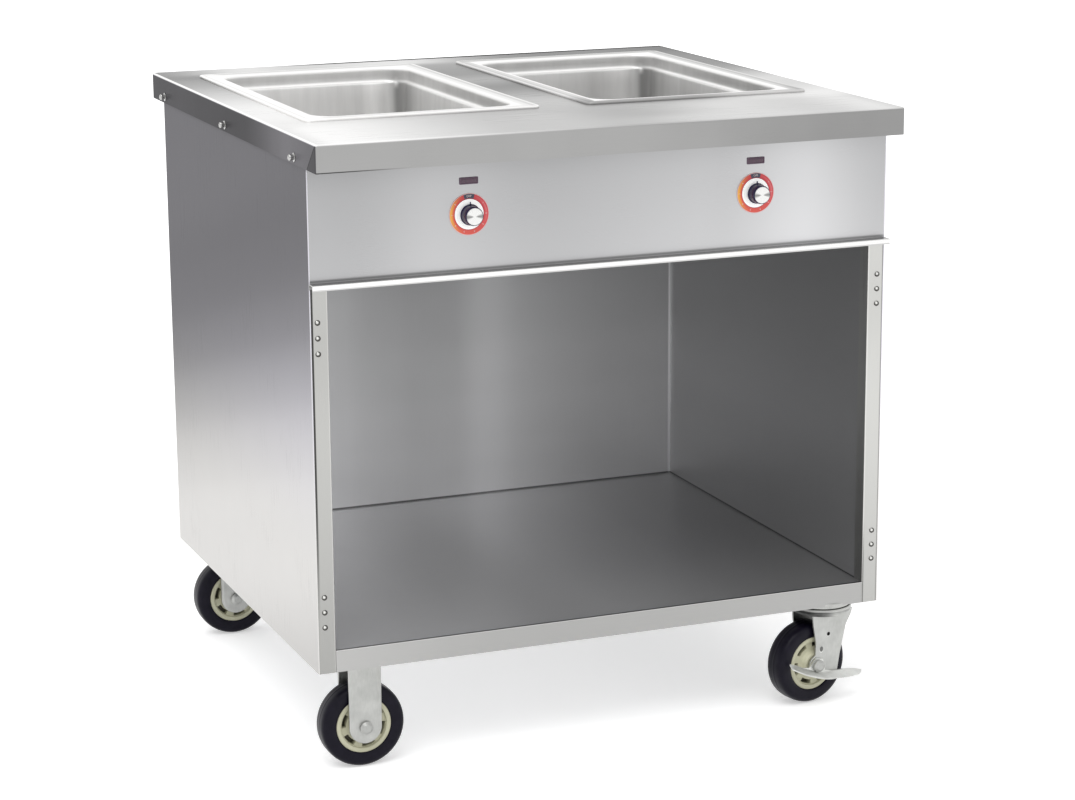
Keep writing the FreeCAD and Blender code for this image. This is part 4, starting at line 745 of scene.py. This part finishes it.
DISC_RADIUS = 12
for side, middle in DIALS.items():
    hub = (middle, FRONT_FACE, DIAL_HEIGHT)
    body_rings = turned((3.1, 14.4, 14.9, 15, 14.9, 14.3, 13.7, 13.5, 13.4, 13.3, 13.0, 12.5, 12.1, 12.06, 3.1),
                        (5.1, 5.1, 5.3, 5.8, 6.3, 6.9, 7.6, 9, 14, 21, 22.2, 22.85, 22.95, 22.0, 22.0),
                        hub, (0, -1, 0), 72)
    up_steps = np.linspace(12, 18.4, 8)
    fin = rounded_rings(np.interp(up_steps, (12, 17.8, 18.4), (1.2, 0.7, 0.3)), np.full(8, 0.75), 0.3, 3, (2, 2))
    fin = np.stack((fin[..., 0] + middle, fin[..., 1] + FRONT_FACE - 5.85,
                    np.broadcast_to(up_steps[:, None] + DIAL_HEIGHT, fin.shape[:2])), axis=-1)
    fit(shell(f"knob_moulded_{side}", body_rings, loop=True), moulding, "knob_black", f"control_{side}",
        f"knob_{side}")
    fit(shell(f"knob_pointer_{side}", capped(fin)), moulding, "knob_black", f"control_{side}")
    disc = shell(f"knob_disc_{side}", turned((0, 11.9, DISC_RADIUS, DISC_RADIUS, 11.6, 11, 8, 4, 0),
                                             (22.05, 22.05, 22.2, 23.0, 23.25, 23.3, 23.34, 23.37, 23.38),
                                             hub, (0, -1, 0), 72))
    planar_uv(disc, (middle, DIAL_HEIGHT), DISC_RADIUS)
    fit(disc, spun, "knob_bright", f"control_{side}", f"knob_cap_{side}")


# --- Studs on the apron and the cable gland ---------------
# Six turned studs with washers stand out of the ends of the apron to carry a tray rail or a board.
# The supply enters high in the back panel through a black moulded gland.

stud_steel = bright_steel("stud_steel", 178, 0.22)
APRON_END = 445
STUD_HEIGHT = 884
studs = []
for side in (-1, 1):
    for y in (354, 10, -334):
        studs.append(turned((0, 6.3, 6.5, 6.5, 6.2, 4.4, 4.0, 4.0, 4.5, 4.6, 4.5, 4.1, 3.2, 1.8, 0),
                            (0.05, 0.05, 0.2, 0.9, 1.1, 1.2, 1.5, 4.0, 4.6, 5.6, 6.8, 7.8, 8.5, 8.9, 9.0),
                            (side * APRON_END, y, STUD_HEIGHT), (side, 0, 0), 32))
fit(shell("apron_studs", studs), stud_steel, "fastener", "cabinet", "side_pins")

gland_plastic = Finish("gland_moulding")
flow = gland_plastic.noise(300, 3.0)
gland_plastic.wear(Base_Color=gland_plastic.blend(flow, (0.014, 0.014, 0.015), (0.03, 0.03, 0.032)),
                   Roughness=flow * 0.2 + 0.4)
ribs = np.linspace(0, 2 * np.pi, 96, endpoint=False)
hexagon = np.cos(np.pi / 6) / np.cos((ribs + np.pi / 6) % (np.pi / 3) - np.pi / 6)
grip = 1 + 0.03 * np.cos(16 * ribs)
plain = np.ones(96)
gland_shape = [(5.0, 0.1, plain), (12.0, 0.1, hexagon), (14.0, 0.4, hexagon), (14.0, 5.4, hexagon),
               (13.2, 6.0, hexagon), (10.4, 6.1, plain), (9.5, 7.0, plain), (9.6, 8.0, grip), (9.6, 14.5, grip),
               (8.9, 16.4, plain), (7.8, 17.6, plain), (5.6, 18.0, plain), (5.0, 17.6, plain)]
gland_radii = np.array([size * shape for size, height, shape in gland_shape])
gland_heights = np.array([height for size, height, shape in gland_shape])
GLAND_FOOT = (-300, 370, 800)
fit(shell("cable_gland", turned(gland_radii, gland_heights, GLAND_FOOT, (0, 1, 0), 96), loop=True),
    gland_plastic, "gland_black", "cabinet", "power_gland")


# --- Wheels -----------------------------------------------
# Four wheels of 125 mm: a cream moulded hub with a recessed web and six windows, and a glossy black
# tread moulded round it, with a faint parting line down its middle.

SWIVEL_TURN = math.radians(11)
CASTORS = {("front", "left"): (-370, -338, 0), ("rear", "left"): (-370, 328, 0),
           ("front", "right"): (370, -338, SWIVEL_TURN), ("rear", "right"): (370, 328, SWIVEL_TURN)}
AXLE_HEIGHT = 62.5
TRAIL = 28


def wheel_frame(end, side):
    """The middle of a wheel and the direction of its axle."""
    x, y, turn = CASTORS[end, side]
    back = TRAIL if side == "right" else 0
    return (x - back * math.cos(turn), y - back * math.sin(turn), AXLE_HEIGHT), (-math.sin(turn), math.cos(turn), 0)


rubber = Finish("tread_rubber")
scuffs = rubber.noise(70, 5.0)
dust = rubber.noise(9, 2.0)
rubber.wear(Base_Color=rubber.blend(scuffs.rise(0.3, 0.8) * dust, (0.003, 0.0022, 0.008), (0.012, 0.01, 0.02)),
            Roughness=scuffs * 0.2 + 0.26, Specular_IOR_Level=0.16)
rubber.relief(scuffs, 0.08, 0.0004)

hub_plastic = Finish("hub_moulding")
# inside the windows the cream is painted near black, as painted shade in their depth
sunk = hub_plastic.node("Attribute", {"attribute_name": "sunk"}, output="Fac")
flow = hub_plastic.noise(60, 3.0)
cream = hub_plastic.blend(flow, (0.52, 0.51, 0.36), (0.6, 0.59, 0.44))
hub_plastic.wear(Base_Color=hub_plastic.blend(sunk, cream, (0.05, 0.045, 0.02)), Roughness=flow * 0.2 + 0.38)
hub_plastic.relief(flow, 0.06, 0.0004)

tread_half = [(41.1, 16.8), (42.4, 18.2), (45, 18.75), (49, 19), (53.5, 18.95), (56.8, 18.3), (59.3, 16.8),
              (61.0, 14.4), (61.9, 11.2), (62.3, 7.8), (62.35, 4.5), (62.35, 1.2), (62.5, 0.6)]
tread = np.array([(radius, -across) for radius, across in tread_half] + tread_half[::-1])

face_radii = np.array([8.7, 9.4, 13, 15.6, 16.4, 17.4, 19.0, 19.6, 21, 23, 25, 25.9, 26.5, 27.0, 28.3, 29.6, 30.9,
                       31.5, 32.1, 32.8, 33.4, 34.0, 34.6, 35.4, 37.5, 39.4, 40.3, 41])
face_rise = np.interp(face_radii, (8.7, 9.4, 15.6, 16.4, 19.0, 19.8, 33.4, 34.2, 35.0, 39.4, 40.3, 41),
                      (20.4, 20.9, 20.9, 20.4, 15.2, 14.5, 14.5, 17.1, 17.5, 17.5, 17.2, 16.4))
HUB_STEPS = 240
hub_turn = np.linspace(0, 360, HUB_STEPS, endpoint=False)


def windows(start):
    """How far each point of the face lies inside a window: 1 where it is within both the arc's angles and
    its radii, and 0 outside, with edges about half a millimetre wide."""
    from_middle = np.abs((hub_turn + start) % 60 - 30)
    in_angle = np.clip((18 - from_middle) / 1.5, 0, 1)
    in_radius = np.clip((3.1 - np.abs(face_radii - 29.25)) / 0.5, 0, 1)
    return in_radius[:, None] * in_angle[None, :]


WINDOW_DEPTH = 10
for end, side in CASTORS:
    middle, axle = wheel_frame(end, side)
    body = f"wheel_{end}_{side}"
    tyre = shell(f"tread_{end}_{side}", turned(tread[:, 0], tread[:, 1], middle, axle, 128), loop=True, sharp=50)
    fit(tyre, rubber, "tyre_black", body, f"tyre_{end}_{side}")
    cut = windows(14 if side == "left" else 40)
    near_face = face_rise[:, None] - cut * WINDOW_DEPTH
    heights = np.concatenate((-near_face, near_face[::-1]))
    radii = np.broadcast_to(np.concatenate((face_radii, face_radii[::-1]))[:, None], heights.shape)
    depth = np.concatenate((cut, cut[::-1]))
    hub = shell(f"wheel_centre_{end}_{side}", turned(radii, heights, middle, axle, HUB_STEPS), loop=True,
                marks={"sunk": depth}, sharp=40)
    fit(hub, hub_plastic, "hub_cream", body, f"hub_{end}_{side}")


# --- Castor forks, axles and brakes -----------------------
# Bright zinc-plated pressings: straight legs with bevelled long edges on the rigid pair. On the
# swivelling pair the legs hang from a two-ridged crown, and a brake pedal lies across the outer leg.

def zinc_plate(name, level=180):
    """Zinc plate over pressed steel: a cool bright film with soft mottling and a faint grain from the press,
    darkened by a piece's shade mark as painted shade, or lightened by a negative one as painted light.
    """
    finish = Finish(name)
    mottle = finish.noise(45, 4.0)
    fine = finish.noise((500, 500, 120), 2.0)
    shade = finish.node("Attribute", {"attribute_name": "shade"}, output="Fac")
    grey = (mottle - 0.5) * 0.16 + (fine - 0.5) * 0.06 + level / 255 - shade * 0.6
    finish.wear(Base_Color=finish.lit(grey, (0.99, 1.0, 0.965)), Metallic=0.85, Roughness=mottle * 0.2 + 0.26)
    finish.relief(fine, 0.08, 0.0003)
    return finish


zinc = zinc_plate("zinc_plate")
LEG_OUT = 25
LEG_SHEET = 4
PLATE_FOOT = 160


def standing(points, castor):
    """Points given from the floor under a castor plate's middle, turned with the castor and set in place."""
    x, y, turn = CASTORS[castor]
    across, back, rise = np.moveaxis(points, -1, 0)
    return np.stack((x + across * math.cos(turn) - back * math.sin(turn),
                     y + across * math.sin(turn) + back * math.cos(turn), rise), axis=-1)


def flat_leg(rear_edge, front_edge, heights, side, press=lambda inset: 0):
    """A pressed leg beside the wheel: at each height a thin rounded rectangle spans from its rear to its front
    edge, and a press shifts it through its thickness by the distance from the nearest edge."""
    half = (front_edge - rear_edge) / 2
    middle = (front_edge + rear_edge) / 2
    rings = rounded_rings(half, np.full(len(heights), LEG_SHEET / 2), np.minimum(1.2, half), 4, (40, 2))
    inset = half[:, None] - np.abs(rings[..., 0])
    across = rings[..., 0] + middle[:, None]
    rise = np.broadcast_to(heights[:, None], across.shape)
    return capped(np.stack((across, rings[..., 1] + side * LEG_OUT + press(inset), rise), axis=-1))


def top_plate():
    """The flat plate under the channel, with rounded corners and softened edges."""
    rings = rounded_rings(np.array((45.4, 46, 46, 45.4)), np.array((37.4, 38, 38, 37.4)), 8, 6, (4, 4))
    return capped(lifted(rings, np.array((0, 0.5, 3.5, 4)) + PLATE_FOOT))


def bevel(sign):
    """Long edges set back by 0.7 mm towards the wheel over a slope 3 mm wide."""
    return lambda inset: sign * 0.7 * (1 - np.clip((inset - 2.2) / 1.6, 0, 1))


LEG_RADIUS = 24.45
tip_turn = np.linspace(np.pi / 2, 0, 18)
rigid_heights = np.concatenate((AXLE_HEIGHT - LEG_RADIUS * np.sin(tip_turn), np.linspace(64, PLATE_FOOT, 40)))
rigid_half = np.concatenate((np.maximum(LEG_RADIUS * np.cos(tip_turn), 0.05), np.full(40, LEG_RADIUS)))

for end in ("front", "rear"):
    castor = (end, "left")
    legs = [flat_leg(-rigid_half, rigid_half, rigid_heights, side, bevel(-side)) for side in (-1, 1)]
    fork = shell(f"fork_{end}_left", [standing(part, castor) for part in [*legs, top_plate()]])
    fit(fork, zinc, "zinc", "cabinet", f"rigid_fork_{end}")

# edges of the raked leg, as distances from the axle at heights over it
leg_rise = np.concatenate((np.linspace(-16, 15, 34), np.linspace(16, 79.4, 60)))
leg_rear = np.interp(leg_rise, (-16, -13.4, -12.6, -11.3, -9, -5, 0, 5, 9, 11.6, 13.5, 15, 34, 61, 77.5),
                     (38, 3, -3, -6.4, -9.3, -12, -13, -12, -9.3, -6.5, -3.5, -1.5, -1, -6, -7)) - TRAIL
leg_front = np.interp(leg_rise, (-16, -15, -13, 10, 28, 45, 55, 62, 70, 77.5),
                      (39, 40.4, 41, 45, 49.5, 53.5, 56, 60, 65, 67.5)) - TRAIL
crown_section = np.array([(6.1, 140), (41, 140), (44.4, 140.2), (45.7, 141), (46, 142.4), (45.8, 143.8), (44.9, 145),
                          (44.7, 145.6), (45.2, 146.4), (46, 147.6), (46, 149.6), (45.5, 150.8), (44.4, 151),
                          (42.6, 151), (42, 150.4), (42, 144.8), (41, 144), (6.1, 144)])

for end in ("front", "rear"):
    castor = (end, "right")
    x, y = CASTORS[castor][:2]
    legs = [flat_leg(leg_rear, leg_front, leg_rise + AXLE_HEIGHT, side) for side in (-1, 1)]
    crown = turned(*crown_section.T, (0, 0, 0), (0, 0, 1), 120)
    # the inner face of the far leg is painted with shade
    shade = np.concatenate([((leg[..., 1] > 20) & (leg[..., 1] < 24)).ravel() * 0.5 for leg in legs])
    fork = shell(f"fork_{end}_right", [standing(part, castor) for part in legs], marks={"shade": shade})
    fit(fork, zinc, "zinc", f"swivel_{end}", f"swivel_fork_{end}")
    # the left side of the crown, most below its upper ridge, is painted with shade
    around = np.arctan2(crown[..., 1], crown[..., 0])
    shade = 0.65 * np.clip((np.abs(around) - 1.75) / 0.5, 0, 1) * np.clip((148.5 - crown[..., 2]) / 2, 0.1, 1)
    fit(shell(f"crown_{end}", standing(crown, castor), loop=True, marks={"shade": shade}), zinc, "zinc",
        f"swivel_{end}")
    race = turned((20, 33, 34, 43.5, 44.5, 44.5, 43, 20), (150, 150, 151.6, 151.8, 152.8, 158.5, 160, 160),
                  (x, y, 0), (0, 0, 1), 96)
    fit(shell(f"race_{end}", race, loop=True), zinc, "zinc", "cabinet", f"swivel_plate_{end}")
    fit(shell(f"plate_{end}_right", top_plate() + (x, y, 0)), zinc, "zinc", "cabinet")
    eyelets, shades = [], []
    for ahead, rise, stretch, dark in ((22, 45.5, 0, 1.1), (9, 23.5, 0.45, 0.5)):
        angle = np.linspace(0, 2 * np.pi, 36, endpoint=False)
        long = 1 + stretch * np.sin(angle) ** 2
        radii = np.array((0, 1.6, 2.6, 2.9, 3.2, 3.6, 3.9))[:, None] * long
        eyelet = turned(radii, (0.12, 0.12, 0.14, 0.32, 0.42, 0.3, 0.02),
                        (ahead - TRAIL, -LEG_OUT - LEG_SHEET / 2, AXLE_HEIGHT + rise), (0, -1, 0), 36)
        eyelets.append(standing(eyelet, castor))
        # the eyelets are shallow dishes painted dark inside, as painted shade for the vent holes, with a painted
        # highlight on the lower part of the lip
        inner = np.array((dark, dark, dark, dark / 2, 0, 0, 0))[:, None]
        lip = np.array((0, 0, 0, 0.5, 1, 1, 0.5))[:, None] * np.clip(np.sin(angle), 0, 1)
        shades.append((inner - lip * 0.35).ravel())
    fit(shell(f"eyelets_{end}", eyelets, marks={"shade": np.concatenate(shades)}, outward=False), zinc, "zinc",
        f"swivel_{end}")

PEDAL_TILT = math.radians(15)
PEDAL_DROP = 13
PEDAL_OUT = 27.4


def pedal_grid(castor):
    """The pedal: an angle section carried from tip to tip, bent like a wide V. Its web rises to a tab round the
    axle in the middle, and its foot, up to 22 mm wide, slopes down a little to a rolled outer edge."""
    station = np.linspace(-52, 88, 90)
    web = np.interp(station, (-52, -15, -9.5, -7, 7, 9.5, 15, 88), (4, 8, 20, 24, 24, 20, 8, 3))
    foot = np.interp(station, (-52, -47, -30, -10, 10, 40, 60, 76, 84, 88), (9, 15, 19, 20, 22, 21, 19, 14, 8, 4))
    out = [np.full(90, 0.0), np.full(90, 0.0), np.full(90, 0.9), foot - 0.6, foot, foot - 0.4, foot - 1.6,
           np.full(90, 3.3), np.full(90, 3.0), np.full(90, 3.0)]
    curl = np.clip((foot - 6) / 12, 0, 1)
    bend = np.interp(station, (-52, -30, -10, 5, 18, 32, 49, 66, 88), (3, -1.5, -3.4, -3.6, -2.4, 0.4, 3, 6, 8.7))
    root = bend + np.interp(station, (-52, -40, -15, 15, 55, 75, 88), (4, 5.5, 5, 3, 4.5, 3.6, 1.5))
    web = np.maximum(web, root + 3.4)
    high = [web, root + 0.9, root, bend + 0.2 - 0.2 * curl, bend + 1.4 - 0.6 * curl, bend + 2.7 - 0.9 * curl,
            bend + 3 - 0.4 * curl, root + 3.0, root + 3.3, web]
    out, high = np.stack(out, axis=1), np.stack(high, axis=1) - PEDAL_DROP
    along = np.broadcast_to(station[:, None], out.shape)
    across = along * math.cos(PEDAL_TILT) + high * math.sin(PEDAL_TILT) - TRAIL
    rise = high * math.cos(PEDAL_TILT) - along * math.sin(PEDAL_TILT) + AXLE_HEIGHT
    return standing(capped(np.stack((across, -PEDAL_OUT - out, rise), axis=-1)), castor)


for end in ("front", "rear"):
    pressing = pedal_grid((end, "right"))
    # the pedal is painted lighter by a negative shade mark, as painted light
    pedal = shell(f"pedal_{end}", pressing, marks={"shade": np.full(pressing[..., 0].size, -0.2)})
    fit(pedal, zinc, "zinc", f"pedal_{end}", f"brake_pedal_{end}")

dress(zinc_plate("bolt_zinc", 172), "castor_bolts", "kingpins", "swivel_balls", "rigid_axles",
      "swivel_axle_front", "swivel_axle_rear")


# --- Floor and light --------------------------------------
# A plain white floor under an even white sky, and one broad soft lamp from high on the left. The
# floor shows white to the eye and in the steel, and keeps the table's shadow.

def looked_at(finish):
    """1 for the rays of the eye, of gloss and of glass, and 0 for those that only carry light."""
    rays = finish.node("LightPath").socket.node.outputs
    eye_ray, gloss_ray, glass_ray = (Reading(finish, rays[f"Is {kind} Ray"])
                                     for kind in ("Camera", "Glossy", "Transmission"))
    return eye_ray.most(gloss_ray).most(glass_ray)


floor_mesh = bpy.data.meshes.new("floor")
floor_mesh.from_pydata([(-40, -40, 0), (40, -40, 0), (40, 40, 0), (-40, 40, 0)], [], [(0, 1, 2, 3)])
floor = placed("floor", floor_mesh)
white_floor = Finish("white_floor")
white_floor.wear(Base_Color=(0.85, 0.85, 0.85, 1), Roughness=1.0, Specular_IOR_Level=0, Emission_Strength=1.0,
                 Emission_Color=white_floor.blend(looked_at(white_floor), (0, 0, 0), (0.42, 0.42, 0.42)))
floor_mesh.materials.append(white_floor.material)

lamp = placed("soft_lamp", bpy.data.lights.new("soft_lamp", "SUN"))
lamp.data.energy = 0.9
lamp.data.angle = math.radians(35)
lamp.matrix_world = Matrix.Rotation(math.radians(-20), 4, "Y") @ Matrix.Rotation(math.radians(24), 4, "X")

WHITE = (1, 1, 1, 1)
sky = Finish("sky", "worlds", "Background").wear(Color=WHITE, Strength=0.88)
plain_white = sky.node("Background", values={"Color": WHITE, "Strength": 1.0})
either = sky.node("MixShader", values={0: looked_at(sky), 1: Reading(sky, sky.shader.outputs[0]), 2: plain_white})
sky.feed(sky.tree.nodes["World Output"].inputs["Surface"], either)
bpy.context.scene.world = sky.material

bpy.context.scene.view_settings.view_transform = "Standard"
